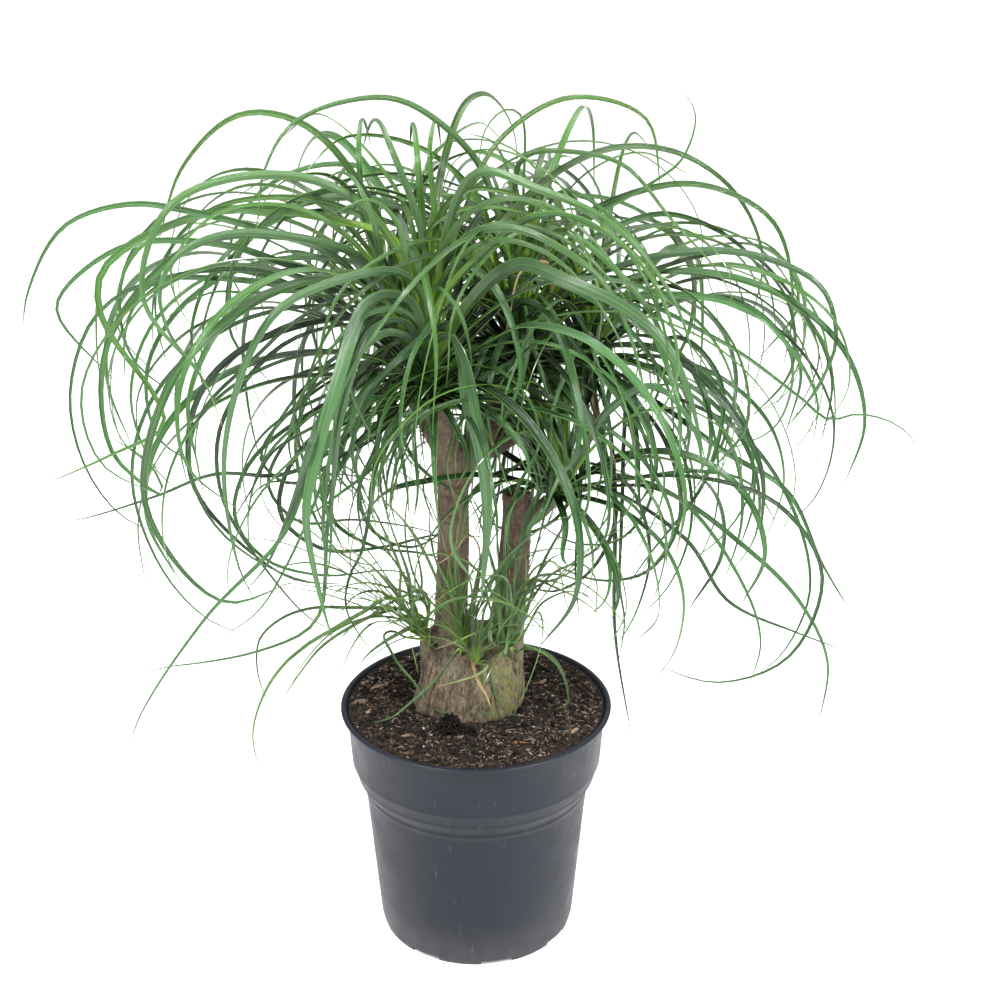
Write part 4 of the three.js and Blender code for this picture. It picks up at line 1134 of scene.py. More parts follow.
# Fine leaves that the photo shows, in the form of the seen ones above
seenThin = {
    "crown_left": [
        (5, 60, 80, [(-115, 595), (-185, 600), (-215, 600), (-250, 580), (-260, 570)]),
        (5, 90, 110, [(-75, 540), (-120, 490), (-140, 480), (-170, 460), (-190, 425), (-215, 385)]),
        (4, 60, 30, [(-60, 560), (-100, 500), (-125, 400), (-135, 310), (-150, 290), (-195, 270),
            (-240, 260), (-275, 255), (-305, 245)]),
        (4, 40, 90, [(-60, 560), (-120, 540), (-150, 470), (-140, 410), (-120, 370), (-90, 355),
            (-75, 370)]),
        (4, 10, -20, [(-70, 580), (-180, 580), (-260, 520), (-290, 440), (-270, 350), (-230, 300),
            (-190, 285)]),
        (4, 20, 10, [(-80, 590), (-200, 620), (-300, 590), (-335, 520), (-330, 450), (-300, 400),
            (-255, 380)]),
        (4, 30, 30, [(-60, 530), (-110, 470), (-160, 440), (-220, 440), (-270, 420), (-330, 400),
            (-355, 395)]),
        (5, 50, 60, [(-50, 560), (-90, 540), (-130, 430), (-160, 360), (-190, 310), (-230, 280)]),
        (9, 60, 80, [(-36, 549), (-47, 559), (-71, 566), (-90, 554), (-105, 533), (-118, 508),
            (-126, 470)]),
        (8, 70, 90, [(-38, 545), (-50, 549), (-64, 541), (-81, 524), (-94, 508), (-104, 480)]),
        (9, 90, 120, [(-36, 614), (-22, 643), (-3, 667), (25, 679), (63, 672), (91, 650), (120, 614),
            (130, 589)]),
        (8, 110, 150, [(-29, 601), (-12, 629), (11, 643), (35, 643), (63, 631), (87, 609), (109, 579),
            (121, 556), (127, 534)]),
        (9, 70, 90, [(-27, 614), (-5, 648), (25, 658), (63, 650), (91, 631), (120, 599), (135, 569)]),
        (9, 50, 80, [(-26, 667), (-3, 686), (25, 684), (60, 670), (95, 655), (119, 643), (143, 619),
            (159, 589)]),
        (8, 40, 60, [(-38, 648), (-17, 667), (11, 672), (49, 665), (72, 653), (96, 629), (111, 599)]),
        (8, 90, 100, [(-39, 559), (-58, 584), (-82, 584), (-104, 569), (-119, 549), (-129, 523)]),
        (10, 172, 168, [(-75, 588), (-100, 552), (-123, 503), (-137, 470), (-151, 425), (-166, 385),
            (-181, 353), (-200, 329)]),
        (5, 90, 40, [(-80, 600), (-140, 580), (-185, 540), (-225, 500), (-240, 464), (-237, 425),
            (-219, 388), (-191, 361), (-160, 344), (-139, 338), (-112, 338), (-85, 344)]),
        (5, 60, 40, [(-60, 545), (-107, 519), (-154, 495), (-180, 473), (-195, 445), (-201, 413)]),
        (5, 60, 50, [(-45, 520), (-82, 475), (-114, 456), (-146, 433), (-172, 433), (-188, 422),
            (-194, 402)]),
        (5, 40, 30, [(-50, 510), (-83, 450), (-115, 422), (-142, 402), (-163, 393)]),
        (6, 50, 40, [(-50, 560), (-75, 510), (-83, 461), (-89, 413), (-98, 367), (-109, 344), (-113, 314),
            (-100, 284), (-87, 266)]),
    ],
    "crown_back": [
        (5, -20, 0, [(40, 680), (38, 745), (25, 750), (10, 735), (5, 710), (5, 685)]),
        (6, 10, 60, [(40, 590), (45, 570), (60, 515), (70, 485), (80, 465)]),
        (6, 0, 20, [(70, 685), (120, 655), (145, 620), (150, 575), (140, 530)]),
        (5, 30, 70, [(60, 600), (90, 570), (110, 500), (115, 430), (105, 380), (95, 340)]),
        (5, 40, 80, [(50, 600), (80, 560), (125, 500), (160, 440), (150, 390), (125, 350)]),
        (4, -20, 20, [(80, 600), (150, 560), (220, 500), (235, 430), (210, 380), (170, 350)]),
        (5, -40, -30, [(90, 610), (180, 600), (260, 560), (300, 490), (290, 420), (250, 380)]),
        (5, -30, 0, [(90, 590), (160, 560), (200, 480), (205, 400), (185, 340)]),
        (5, -60, -60, [(20, 560), (12, 500), (8, 420), (15, 340)]),
        (5, -50, -50, [(30, 560), (28, 500), (20, 420), (5, 350)]),
        (6, -70, -60, [(45, 560), (50, 480), (48, 400), (40, 320)]),
        (5, 20, 60, [(40, 560), (38, 520), (22, 470), (8, 420), (2, 370)]),
        (5, 10, 60, [(60, 560), (66, 500), (64, 430), (52, 370), (40, 330)]),
        (4, 0, 50, [(70, 560), (84, 500), (88, 430), (86, 350), (92, 290)]),
        (2.6, 20, 45, [(42, 545), (52, 489), (57, 476), (62, 462), (68, 449), (74, 434), (82, 415)], 1.25),
        (3, 8, 24, [(5, 500), (13, 469), (20, 456), (24, 440), (32, 429), (45, 420), (49, 417)], 2),
        (6, 10, 50, [(30, 546), (13, 544), (-2, 541), (-14, 520)]),
        (2.6, 10, 30, [(62, 600), (59, 626), (39, 619), (33, 604), (30, 584), (26, 566)], 2),
    ],
    "crown_rear_left": [
        (5, -70, -50, [(-95, 520), (-150, 480), (-175, 430), (-150, 396), (-105, 398), (-60, 392),
            (-15, 380)]),
        (4.5, -60, -60, [(-80, 520), (-120, 490), (-160, 440), (-165, 400), (-130, 370), (-80, 372),
            (-30, 384), (20, 380)]),
        (4.5, -70, -60, [(-70, 510), (-110, 470), (-130, 430), (-120, 395), (-85, 372), (-45, 366),
            (0, 352)]),
        (4, -60, -40, [(-70, 530), (-130, 500), (-190, 450), (-205, 400), (-180, 360), (-130, 345),
            (-75, 350), (-30, 340)]),
        (5, -80, -60, [(-85, 540), (-150, 500), (-180, 455), (-160, 432), (-115, 440), (-70, 430)]),
        (4.5, -60, -50, [(-50, 520), (-70, 470), (-95, 430), (-90, 390), (-55, 372), (-10, 400)]),
    ],
    "crown_right": [
        (5, -60, -40, [(100, 540), (140, 480), (150, 420), (125, 380), (90, 375), (60, 390), (44, 410)]),
        (4.5, -60, -40, [(110, 530), (160, 470), (175, 400), (150, 350), (110, 340), (75, 352), (50, 372)]),
        (4.5, -50, -30, [(95, 520), (110, 460), (120, 400), (100, 350), (70, 330), (45, 335), (20, 350)]),
        (4, -60, -50, [(90, 510), (90, 450), (70, 400), (40, 385), (8, 400), (-6, 430)]),
        (4, -20, 0, [(120, 540), (125, 450), (125, 390), (125, 335), (130, 300), (125, 255)]),
        (4, -20, 10, [(140, 520), (220, 480), (270, 410), (290, 330), (270, 270), (240, 240)]),
        (5, -10, 20, [(120, 530), (170, 470), (185, 400), (170, 340), (140, 300)]),
        (8, 20, 50, [(100, 532), (96, 512), (89, 489), (86, 472), (80, 452), (67, 434), (56, 418),
            (45, 394), (40, 373), (28, 352), (16, 331), (8, 315), (-2, 296)]),
        (2.6, 0, 30, [(100, 500), (106, 481), (112, 467), (118, 452), (120, 436)], 2),
    ],
    "crown_low_right": [
        (5, 30, 40, [(90, 450), (130, 430), (150, 370), (140, 310), (120, 270)]),
        (4, 20, 40, [(100, 440), (170, 420), (230, 340), (250, 280), (240, 230)]),
        (4, 0, 0, [(100, 430), (180, 380), (220, 320), (280, 290), (330, 270)]),
        (5, 20, 30, [(71, 434), (57, 433), (45, 432), (32, 429), (20, 422), (7, 413), (-8, 396)]),
        (5, 26, 36, [(62, 450), (44, 452), (26, 440), (10, 414), (-2, 380)]),
        (5, 30, 40, [(70, 452), (60, 456), (46, 446), (34, 420), (28, 380), (30, 340)]),
    ],
    "sprout_left": [
        (2.6, 0, 46, [(-62, 285), (-72, 290), (-80, 285), (-70, 262), (-52, 236), (-36, 210), (-20, 190)]),
        (2.2, 20, 30, [(-60, 300), (-90, 305), (-125, 290), (-150, 262), (-165, 235)]),
        (2.6, 10, 10, [(-60, 310), (-85, 330), (-105, 325), (-122, 300)]),
        (2, 10, 20, [(-55, 310), (-62, 345), (-80, 370), (-100, 375)]),
        (4.2, 34, 56, [(-46, 300), (-56, 295), (-78, 282), (-94, 269), (-105, 255)]),
        (3, 10, 0, [(-42, 315), (-61, 329), (-77, 334), (-93, 338), (-109, 336), (-130, 325)]),
        (2.6, 20, 20, [(-45, 304), (-61, 311), (-77, 315), (-93, 314), (-109, 315), (-125, 308)]),
        (4, 30, 50, [(-40, 317), (-48, 331), (-64, 324), (-80, 315), (-97, 302), (-110, 293), (-125, 278)]),
        (2.4, 0, -10, [(-42, 312), (-55, 352), (-60, 387), (-57, 422), (-52, 456)]),
        (2.4, 0, 0, [(-42, 312), (-60, 343), (-82, 380), (-97, 408), (-106, 422)]),
        (1.8, 30, 30, [(-58, 318), (-77, 327), (-88, 343), (-86, 359), (-71, 380)], 1.25),
        (3, 20, 30, [(-60, 305), (-86, 313), (-113, 314), (-140, 314), (-167, 305), (-189, 284),
            (-193, 254), (-187, 226), (-178, 210)]),
        (3.4, 30, 60, [(-60, 312), (-85, 308), (-108, 296), (-136, 275), (-159, 244), (-176, 216)]),
    ],
    "sprout_front": [
        (2.6, 28, 62, [(-16, 272), (-22, 262), (-36, 242), (-56, 222), (-76, 203), (-93, 188)]),
        (2.2, 30, 30, [(-10, 290), (0, 285), (25, 292), (48, 305)]),
        (1.8, 30, 52, [(-14, 262), (-16, 240), (-8, 222), (10, 206), (26, 192)]),
        (2.4, 24, 20, [(-14, 300), (-6, 340), (6, 365), (22, 375)]),
        (1.8, 26, 30, [(-22, 285), (-32, 282), (-46, 272), (-60, 262)]),
        (2, 34, 34, [(-13, 293), (-19, 317), (-21, 338), (-22, 363), (-12, 380), (2, 394)]),
        (2.2, 32, 44, [(-2, 310), (4, 350), (2, 376), (-6, 384), (-15, 372), (-25, 361), (-38, 354),
            (-51, 353), (-67, 354)], 2),
        (2.6, 28, 32, [(-8, 290), (-19, 317), (-24, 352), (-9, 380)]),
        (2.4, 28, 32, [(-6, 299), (7, 326), (23, 343)]),
    ],
    "sprout_front_low": [
        (1.9, 36, 40, [(6, 262), (4, 248), (8, 230), (13, 216)]),
        (1.7, 38, 46, [(10, 262), (14, 240), (22, 218), (34, 200), (44, 194)]),
        (2.4, 34, 20, [(12, 280), (22, 320), (30, 345)]),
        (3.2, 44, 58, [(-3, 262), (1, 244), (10, 225), (13, 214)], 2),
        (2, 44, 58, [(10, 257), (3, 249), (-17, 241), (-33, 236)], 1.25),
    ],
    "sprout_right": [
        (3.4, 18, 34, [(36, 272), (46, 276), (58, 272), (72, 258), (80, 238), (81, 220), (76, 205),
            (71, 199)]),
        (2.2, 20, 20, [(32, 290), (34, 330), (44, 360), (60, 372)]),
        (2, 24, 30, [(32, 285), (22, 272), (8, 262), (-8, 255)]),
        (2.2, 10, 0, [(40, 290), (60, 320), (85, 330), (110, 318)]),
        (2.5, 26, 30, [(38, 285), (42, 308), (44, 334), (43, 370)], 1.25),
        (2.4, 34, 58, [(29, 303), (16, 298), (3, 291), (-19, 280), (-39, 272)], 1.25),
        (2.6, 10, 0, [(36, 302), (40, 326), (52, 340), (68, 334), (84, 326), (100, 315), (115, 300)]),
        (2.6, 0, 10, [(36, 317), (51, 352), (66, 359), (72, 352), (76, 334), (79, 317), (86, 302),
            (92, 291)], 1.25),
        (2.6, 10, -10, [(32, 295), (36, 317), (52, 334), (83, 349), (104, 380)]),
        (2.4, 10, 0, [(34, 300), (45, 317), (67, 347), (91, 356), (104, 342), (105, 317), (104, 293)]),
    ],
}

thinRule = {
    "attempts": 24,
    "oldest": 0.82, "ageCurve": 1.4, "sizes": (0.9, 1.2), "widths": (3.4, 6.8), "wild": 0.7,
    "skirtAges": (0, 0.45), "skirtSizes": (0.34, 0.8), "skirtWidths": (4, 7.5), "skirtWild": 0.6,
    "skirtHalf": 1.5,  # radians to either side of the front
    "tuftAges": (0.05, 0.95), "tuftSizes": (0.6, 1.4), "tuftWidths": (1.6, 3), "tuftWild": 1.1,
}


thinDraw = Draws(5150)
thinLeaves = [seenLeaf(node, row) for node, rows in seenThin.items() for row in rows]
for node, head in heads.items():
    for i in range(head["thin"]):
        for _ in range(thinRule["attempts"]):
            age = thinRule["oldest"] * thinDraw(0, 1) ** thinRule["ageCurve"]
            azimuth = thinDraw(0, 2 * math.pi)
            size = head["length"] * thinDraw(*thinRule["sizes"])
            run = ruleRun(thinDraw, head, age, azimuth, size, thinRule["wild"])
            if not strays(smoothLine(run, 60)):
                break
        thinLeaves.append(ruleLeaf(node, thinDraw(*thinRule["widths"]), run, age))
    for i in range(head["skirt"]):  # short old leaves that hang over the limb
        share = 2 * (i + thinDraw(0, 1)) / head["skirt"] - 1
        age = thinDraw(*thinRule["skirtAges"])
        size = head["length"] * thinDraw(*thinRule["skirtSizes"])
        azimuth = -math.pi / 2 + thinRule["skirtHalf"] * share
        run = ruleRun(thinDraw, {**head, "parting": 0}, age, azimuth, size, thinRule["skirtWild"])
        thinLeaves.append(ruleLeaf(node, thinDraw(*thinRule["skirtWidths"]), run, age))
for node, tuft in tufts.items():
    for i in range(tuft["thin"]):
        age = thinDraw(*thinRule["tuftAges"])
        size = tuft["length"] / leafRule["tuftLength"] * thinDraw(*thinRule["tuftSizes"])
        run = tuftRun(thinDraw, tuft, age, thinDraw(0, 2 * math.pi), size, thinRule["tuftWild"])
        thinLeaves.append(ruleLeaf(node, thinDraw(*thinRule["tuftWidths"]), run, age))
bendClear(thinLeaves, bending["thinRounds"], False)
print("thin leaves grown:", len(thinLeaves))


# Blades: one is modelled flat, a unit long and a unit wide, and its copies are laid along the runs

def modelBlade(name, stepsAcross, stepsAlong):
    bpy.ops.mesh.primitive_grid_add(
        x_subdivisions=stepsAcross, y_subdivisions=stepsAlong, size=1, location=(0, 0.5, 0), calc_uvs=True
    )
    blade = bpy.context.object
    blade.name = name
    settle(blade)
    blade.data.uv_layers[0].name = "leafWay"
    thicken = blade.modifiers.new("thickness", "SOLIDIFY")
    thicken.thickness = 1
    thicken.offset = -1
    applyModifiers(blade)
    writeAttribute(blade.data, "underside", readPoints(blade.data)[:, 2] < -0.5)
    return blade


bladeShape = {
    "widths": [
        (0, 1.25), (0.035, 1.1), (0.1, 1), (0.4, 0.95), (0.6, 0.78), (0.78, 0.52), (0.91, 0.3), (1, 0.04),
    ],
    "seenShares": [(12, 0.7), (14, 1.05)],  # of a width, for the leaves that are seen face on
    "seenFrom": 4.5,  # and are broader than this
    "slenderFrom": 0.7,  # younger leaves stand narrow in the heart
    "thick": [(0, 1.3), (0.1, 0.7), (0.7, 0.5), (1, 0.25)],
    "channel": 0.36,
    "margin": 2.5,
    "drawn": 60,
    "wideFrom": 6.9,  # broader leaves get the finer blade
    "turning": (0.08, 0.45),  # between these shares of its length a seen leaf turns its face
    "twist": 105,  # degrees to either side
    "seenTwist": 0.35,  # share of it for the seen leaves
    "sways": [(0, 9), (4, 9), (0, 6.3)],  # how far, how often and from where a leaf waves
    "smooth": 26,  # degrees, sharper edges stay sharp
    # the core's youth of 0.3 gives it the leaves' painted root shade
    "coreLooks": {"leafTone": 0.5, "leafYouth": 0.3, "underside": 0},
}
boxLow, boxHigh = np.array(cadBox[0]) / mm + 0.2, np.array(cadBox[1]) / mm - 0.2


def keepInside(line):  # where a line would leave the solids' box, its outermost part is drawn together
    for k in range(3):
        for sign, limit in ((1, boxHigh[k]), (-1, -boxLow[k])):
            reach = sign * line[:, k]
            over = reach.max() - limit + bladeShape["margin"]
            if over > 0:
                start = limit - bladeShape["margin"] - bladeShape["drawn"]
                share = bladeShape["drawn"] / (bladeShape["drawn"] + over)
                line[:, k] = sign * np.where(reach > start, start + (reach - start) * share, reach)
    return line


def layBlade(blade, leaf, twist, sway):
    s = np.linspace(0, 1, leafRule["rows"])
    line = smoothLine(leaf["run"], leafRule["rows"])
    if leaf["seen"]:  # its fine line, moved as its run was bent
        line = line + leaf["line"] - smoothLine(leaf["start"], leafRule["rows"])
    else:
        aside = unit(np.cross(line[-1] - line[0], upward) + 1e-6)
        line = line + aside * (sway[0] * s**1.5 * np.sin(sway[1] * s + sway[2]))[:, None]
    line = keepInside(line)
    ahead = np.gradient(line, axis=0)
    ahead /= np.maximum(np.linalg.norm(ahead, axis=1), 1e-6)[:, None]
    side = np.cross(ahead[0], upward)
    side = unit(side) if np.linalg.norm(side) > 1e-3 else np.array([1.0, 0, 0])
    sides = []
    for direction in ahead:
        side = unit(side - direction * side.dot(direction))
        sides.append(side)
    sides = np.array(sides)
    tops = np.cross(sides, ahead)
    turn = twist * s**1.4
    if leaf["seen"]:  # its face turns to where the photo was taken from
        facing = np.cross(ahead, eye - line)
        angle = np.arctan2((facing * tops).sum(1), (facing * sides).sum(1))
        angle = np.unwrap(2 * angle) / 2
        angle -= math.pi * round(angle[leafRule["rows"] // 5] / math.pi)
        begins, ends = bladeShape["turning"]
        share = np.clip((s - begins) / (ends - begins), 0, 1)
        turn = turn + angle * share * share * (3 - 2 * share)
    sides, tops = (
        sides * np.cos(turn)[:, None] + tops * np.sin(turn)[:, None],
        tops * np.cos(turn)[:, None] - sides * np.sin(turn)[:, None],
    )
    unitPoints = readPoints(blade.data)
    place = np.clip(unitPoints[:, 1], 0, 1)
    pick = [np.interp(place, s, column) for column in (*line.T, *sides.T, *tops.T)]
    centre, out, up = np.stack(pick[:3], 1), np.stack(pick[3:6], 1), np.stack(pick[6:9], 1)
    slender = 1 - max(0, leaf["age"] - bladeShape["slenderFrom"])
    if leaf["seen"] and leaf["width"] > bladeShape["seenFrom"]:
        slender *= np.interp(leaf["width"], *zip(*bladeShape["seenShares"]))
    widths = np.interp(place, *zip(*bladeShape["widths"])) * leaf["width"] * slender
    thick = np.interp(place, *zip(*bladeShape["thick"]))
    across = unitPoints[:, 0]
    fold = bladeShape["channel"] * (0.5 + 0.5 * np.exp(-8 * place)) * (np.abs(across) * 2) ** 1.05 * widths
    rise = fold + unitPoints[:, 2] * thick
    laid = ownCopy(blade, leaf["node"] + "_blade")
    points = centre + out * (across * widths)[:, None] + up * rise[:, None]
    writePoints(laid.data, np.clip(points, boxLow, boxHigh) * mm)
    return laid


def growCrown(node):
    blades = []
    for leaf in leaves + thinLeaves:
        if leaf["node"] != node:
            continue
        template = wideBlade if leaf["width"] > bladeShape["wideFrom"] else narrowBlade
        sway = [thinDraw(*limits) for limits in bladeShape["sways"]]
        twist = math.radians(thinDraw(-bladeShape["twist"], bladeShape["twist"]))
        laid = layBlade(template, leaf, twist * (bladeShape["seenTwist"] if leaf["seen"] else 1), sway)
        count = len(laid.data.vertices)
        tone = thinDraw(0, 1)
        writeAttribute(laid.data, "leafTone", np.full(count, leaf.get("tone") or tone))
        writeAttribute(laid.data, "leafYouth", np.full(count, leaf["age"]))
        blades.append(laid)
    core = heartCone(partOf(node), node)
    for look, value in bladeShape["coreLooks"].items():
        writeAttribute(core.data, look, np.full(len(core.data.vertices), value))
    piece = joinInto(core, blades)
    piece.name = node + "_leaves"
    selectOnly(piece)
    bpy.ops.object.shade_smooth_by_angle(angle=math.radians(bladeShape["smooth"]))
    return piece


def heartCone(head, node):
    # The core that the leaves stand on, narrowed by hand from a cylinder
    tall = head.get("heart", 11) * mm
    radius = head["radius"] * (0.9 if node in heads else 0.5) * mm
    bpy.ops.mesh.primitive_cylinder_add(vertices=20, radius=radius, depth=tall, location=(0, 0, tall / 2))
    core = bpy.context.object
    settle(core)
    bpy.ops.object.mode_set(mode="EDIT")
    selectVertices(core, lambda co: co.z > tall * 0.9)
    bpy.ops.transform.resize(value=(0.4, 0.4, 1), center_override=(0, 0, tall))
    bpy.ops.mesh.select_all(action="SELECT")
    bpy.ops.mesh.subdivide(number_cuts=2, smoothness=0)
    bpy.ops.object.mode_set(mode="OBJECT")
    core.data.uv_layers[0].name = "leafWay"
    lean = Vector(head["lean"])
    core.location = (Vector(head["base"]) + lean.normalized() * (0.4 if node in heads else -5)) * mm
    core.rotation_euler = lean.to_track_quat("Z", "Y").to_euler()
    settle(core)
    return core


wideBlade = modelBlade("wide_blade", 4, 44)
narrowBlade = modelBlade("narrow_blade", 2, 36)

leafPaints = {
    "leaf_green": {
        "deep": (0.004, 0.018, 0.0075), "fresh": (0.044, 0.132, 0.036), "vivid": (0.2, 0.4, 0.013),
        "vividYouth": (0.58, 0.84),  # the roots are vivid from one to the other
        # youngShade: how much of the painted root shade the youngest leaves get
        "youngShade": 0.7,
    },
    "young_leaf_green": {
        "deep": (0.024, 0.062, 0.02), "fresh": (0.085, 0.17, 0.042), "vivid": (0.26, 0.42, 0.05),
        "vividYouth": (-0.4, -0.2),
        "youngShade": 0,
    },
}
anyLeaf = {
    "underside": (0.08, 0.15, 0.07),
    "yellowing": (0.3, 0.36, 0.12),
    "straw": [(0.2, 0.11, 0.045), (0.46, 0.32, 0.17)],
}


# A colour darkened by a share, for the painted shade at the roots and for the darker vein streaks
def darkened(colour, share):
    return tuple(share * c for c in colour)


def leafPaint(name):
    paint = leafPaints[name]
    deep, fresh, vivid = paint["deep"], paint["fresh"], paint["vivid"]
    oldest, youngest = paint["vividYouth"]
    material, tree, shader = newMaterial(name)
    way = addParts(tree, addNode(tree, "ShaderNodeUVMap", {}, uv_map="leafWay").outputs[0])
    across, onward = way[0], way[1]
    tone = addAttribute(tree, "leafTone")
    youth = addAttribute(tree, "leafYouth")
    drift = addNoise(tree, addPlace(tree), 14, 3)
    stretched = {
        0: addProduct(tree, across, 14.0),
        1: addProduct(tree, onward, 2.2),
        2: addProduct(tree, tone, 40.0),
    }
    streaks = addNoise(tree, addNode(tree, "ShaderNodeCombineXYZ", stretched).outputs[0], 1.0, 5, 0.68)
    # Painted light and shade: the onward share makes each leaf's green lighter towards its tip, where the
    # crown's outside is lit, and darker towards its root inside the crown
    mixed = addSum(tree, tone, drift, addProduct(tree, streaks, 2.8), addProduct(tree, onward, 0.6))
    green = addMix(tree, addSpread(tree, mixed, 2.0, 3.2), deep, fresh)
    halfVivid = tuple(0.5 * (a + b) for a, b in zip(fresh, vivid))
    green = addLayer(tree, green, halfVivid, youth, 0.55, 1.0, 0.3)
    # Painted shade: from the root to about half its length a leaf is drawn towards 0.4 of the deep green,
    # older leaves most, for the shade inside the crown
    rootShadeShare = addSpread(tree, youth, youngest - 0.1, oldest - 0.05, paint["youngShade"], 0.9)
    inShade = addProduct(tree, addSpread(tree, onward, 0.55, 0.1), rootShadeShare)
    green = addMix(tree, inShade, green, darkened(deep, 0.4))
    rootLength = addSpread(tree, youth, 0.0, 1.0, 0.08, 0.32)
    nearRoot = addSpread(tree, addMath(tree, "DIVIDE", onward, rootLength), 1.1, 0.35)
    inHeart = addProduct(tree, nearRoot, addSpread(tree, youth, oldest, youngest, 0.0, 0.95))
    green = addMix(tree, inHeart, green, vivid)
    green = addLayer(tree, green, darkened(deep, 0.45), streaks, 0.48, 0.32, 0.7)
    fromMiddle = addMath(tree, "ABSOLUTE", addMath(tree, "SUBTRACT", across, 0.5))
    green = addLayer(tree, green, vivid, fromMiddle, 0.06, 0.0, 0.22)
    green = addLayer(tree, green, vivid, fromMiddle, 0.45, 0.5, 0.34)
    under = addProduct(tree, addAttribute(tree, "underside"), 0.3)
    green = addMix(tree, under, green, anyLeaf["underside"])
    green = addLayer(tree, green, anyLeaf["yellowing"], tone, 1.05, 1.2, 0.8)
    dryStart = addSpread(tree, tone, 0.75, 1.0, 0.99, 0.93)
    dryTip = addSpread(tree, addMath(tree, "SUBTRACT", onward, dryStart), 0.0, 0.03)
    dry = addMath(tree, "MAXIMUM", dryTip, addSpread(tree, tone, 1.4, 1.6))
    green = addMix(tree, dry, green, addMix(tree, streaks, *anyLeaf["straw"]))
    gloss = addSpread(tree, streaks, 0.35, 0.65, 0.15, 0.31)
    ridges = addBump(tree, streaks, 0.0006, 0.8)
    finishPaint(tree, shader, green, gloss, 0.46, addBump(tree, drift, 0.002, 0.15, ridges))
    return material


crowns = [
    (heads, leafPaint("leaf_green"), "leaf"),
    (tufts, leafPaint("young_leaf_green"), "young_leaf"),
]
for nodes, paint, slotName in crowns:
    for node in nodes:
        dress(growCrown(node), paint, slotName, node)
for blade in (wideBlade, narrowBlade):
    bpy.data.objects.remove(blade)
print("crowns and tufts dressed")


# Trunk: the grown solid, made one skin, smoothed and carved

bark = {
    "voxel": 1.15,
    "rounding": (10, 0.6),  # rounds and strength
    "fillet": (70, 0.9),
    "crotch": (232, 254, 294, 334),  # heights between which it comes, stays and goes
    "stemsFrom": (250, 310),
    "fissure": 1.2,  # depths of the carving
    "fold": 1.5,
    "scar": 0.7,
    "grit": 0.35,
    "highest": 0.9,
    "fibre": [(0.043, 0.03, 0.02), (0.25, 0.195, 0.134)],
    "pale": (0.34, 0.3, 0.235),
    "reddish": (0.15, 0.088, 0.062),
    "paleSpeck": (0.42, 0.36, 0.27),
    "darkSpeck": (0.05, 0.032, 0.024),
    "stem": (0.2, 0.135, 0.1),
    "ring": (0.075, 0.048, 0.034),
    "moss": (0.2, 0.215, 0.075),
    "crack": (0.026, 0.017, 0.011),
    # colour of the bark towards the soil line at the trunk's foot
    "soilLineDark": (0.05, 0.034, 0.022),
}


def addSmoothing(piece, name, rounds, strength):
    smoothing = piece.modifiers.new(name, "SMOOTH")
    smoothing.iterations = rounds
    smoothing.factor = strength
    return smoothing


def noiseAt(x, y, z, wide, tall, level=0):
    return noise.noise(Vector((x / wide, y / wide, z / tall + level)))


trunk = bpy.data.objects.new("grown_trunk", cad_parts["trunk"].data.copy())
bpy.context.scene.collection.objects.link(trunk)
selectOnly(trunk)
bpy.ops.object.mode_set(mode="EDIT")
bpy.ops.mesh.select_all(action="SELECT")
bpy.ops.mesh.remove_doubles(threshold=1e-6)
bpy.ops.object.mode_set(mode="OBJECT")
remesh = trunk.modifiers.new("one_skin", "REMESH")
remesh.mode = "VOXEL"
remesh.voxel_size = bark["voxel"] * mm
addSmoothing(trunk, "rounding", *bark["rounding"])
applyModifiers(trunk)
comes, full, wanes, gone = bark["crotch"]
crotch = trunk.vertex_groups.new(name="crotch")
for i, (_, _, z) in enumerate(readPoints(trunk.data) / mm):
    weight = within(0, (z - comes) / (full - comes), 1) * within(0, (gone - z) / (gone - wanes), 1)
    crotch.add([i], weight, "REPLACE")
addSmoothing(trunk, "fillet", *bark["fillet"]).vertex_group = "crotch"
applyModifiers(trunk)
trunk.vertex_groups.clear()
normals = np.empty(len(trunk.data.vertices) * 3)
trunk.data.vertices.foreach_get("normal", normals)
normals = normals.reshape(-1, 3)
points = readPoints(trunk.data)
carved = points.copy()
cracks = np.zeros(len(points))
baseTop, stemFoot = bark["stemsFrom"]
for i, (point, normal) in enumerate(zip(points, normals)):
    x, y, z = point / mm
    low = within(0, (stemFoot - z) / (stemFoot - baseTop), 1)  # 1 on the base, 0 on the stems
    wander = 5 * noiseAt(x, y, z, 22, 30)
    wide = abs(noiseAt(x + wander, y + wander, z, 4.6, 52))
    fine = abs(noiseAt(x - wander, y, z, 2.6, 20, 9))
    broken = within(0.1, 0.6 + 1.8 * noiseAt(x, y, z, 9, 15), 1)  # cracks that come and go
    crack = max(0, 1 - 5.5 * wide) * broken + 0.55 * max(0, 1 - 5 * fine)
    folds = noiseAt(x, y, z, 13, 32, 3) * low
    scar = (1 - low) * noiseAt(x, y, z, 26, 1.5)
    grit = noiseAt(x, y, z, 2, 2)
    flank = min(1, abs(x + 6) / 26)  # the middle of the front is the smoothest
    cracks[i] = crack * (0.28 + 0.72 * low) * (0.45 + 0.55 * flank)
    depth = bark["fold"] * folds - bark["fissure"] * cracks[i] + bark["scar"] * scar + bark["grit"] * grit
    carved[i] = point + normal * min(bark["highest"], depth) * mm
writePoints(trunk.data, carved)
writeAttribute(trunk.data, "crack", cracks)
selectOnly(trunk)
bpy.ops.object.shade_smooth()

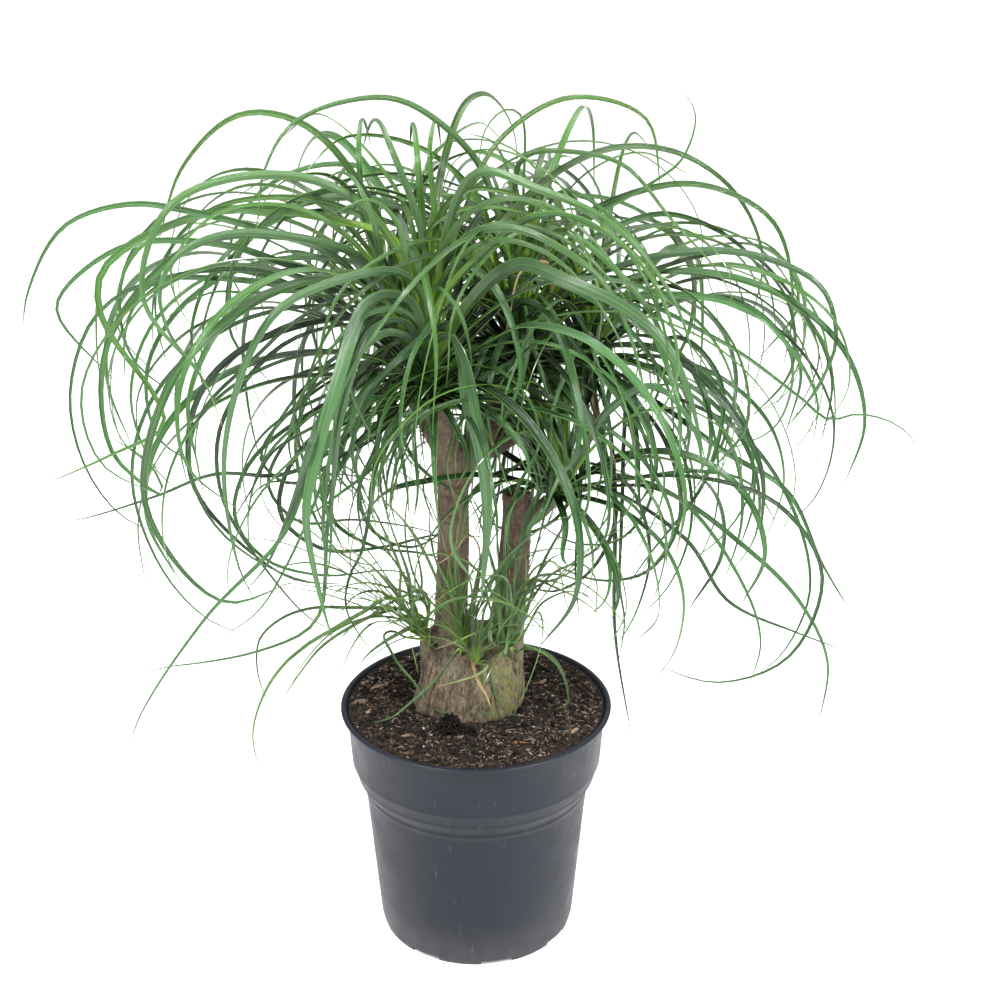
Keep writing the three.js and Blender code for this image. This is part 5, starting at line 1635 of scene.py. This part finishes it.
barkSkin, tree, shader = newMaterial("grey_brown_bark")
place = addPlace(tree)
rightward, _, upwards = addParts(tree, place)
fibre = addNoise(tree, addPlace(tree, (1, 1, 0.34)), 290, 8, 0.74)
broad = addNoise(tree, addPlace(tree, (1, 1, 0.6)), 32, 6, 0.65)
speckle = addNoise(tree, addPlace(tree, (1, 1, 0.7)), 480, 6, 0.7)
rings = addNoise(tree, addPlace(tree, (0.12, 0.12, 1)), 420, 4, 0.6)
onStem = addSpread(tree, upwards, 0.27, 0.32)
brown = addMix(tree, addSpread(tree, fibre, 0.34, 0.66), *bark["fibre"])
brown = addLayer(tree, brown, bark["pale"], broad, 0.52, 0.68, 0.5)
brown = addLayer(tree, brown, bark["reddish"], broad, 0.46, 0.34, 0.65)
brown = addLayer(tree, brown, bark["paleSpeck"], speckle, 0.58, 0.7, 0.55)
brown = addLayer(tree, brown, bark["darkSpeck"], speckle, 0.42, 0.3, 0.6)
stemShare = addProduct(tree, onStem, addSpread(tree, broad, 0.35, 0.6, 0.2, 0.6))
brown = addMix(tree, stemShare, brown, bark["stem"])
ringShare = addProduct(tree, onStem, addSpread(tree, rings, 0.52, 0.68, 0.0, 0.75))
brown = addMix(tree, ringShare, brown, bark["ring"])
mossSide = addProduct(tree, addSpread(tree, rightward, -0.012, 0.03), addSpread(tree, upwards, 0.3, 0.25))
mossy = addSpread(tree, addNoise(tree, place, 110, 7, 0.7), 0.4, 0.58, 0.0, 0.8)
brown = addMix(tree, addProduct(tree, mossSide, mossy), brown, bark["moss"])
brown = addLayer(tree, brown, bark["crack"], addAttribute(tree, "crack"), 0.1, 1.1, 0.7)
# The bark is darker towards the bottom, at the soil line
uneven = addSum(tree, upwards, addProduct(tree, broad, 0.012))
brown = addLayer(tree, brown, bark["soilLineDark"], uneven, 0.236, 0.222, 0.6)
rough = addBump(tree, fibre, 0.0016, 0.85)
rough = addBump(tree, addProduct(tree, rings, onStem), 0.0009, 0.6, rough)
rough = addBump(tree, addNoise(tree, place, 1100, 4), 0.0003, 0.5, rough)
finishPaint(tree, shader, brown, 0.82, 0.3, rough)
dress(trunk, barkSkin, "bark", "trunk")
print("trunk carved:", len(trunk.data.vertices), "vertices")
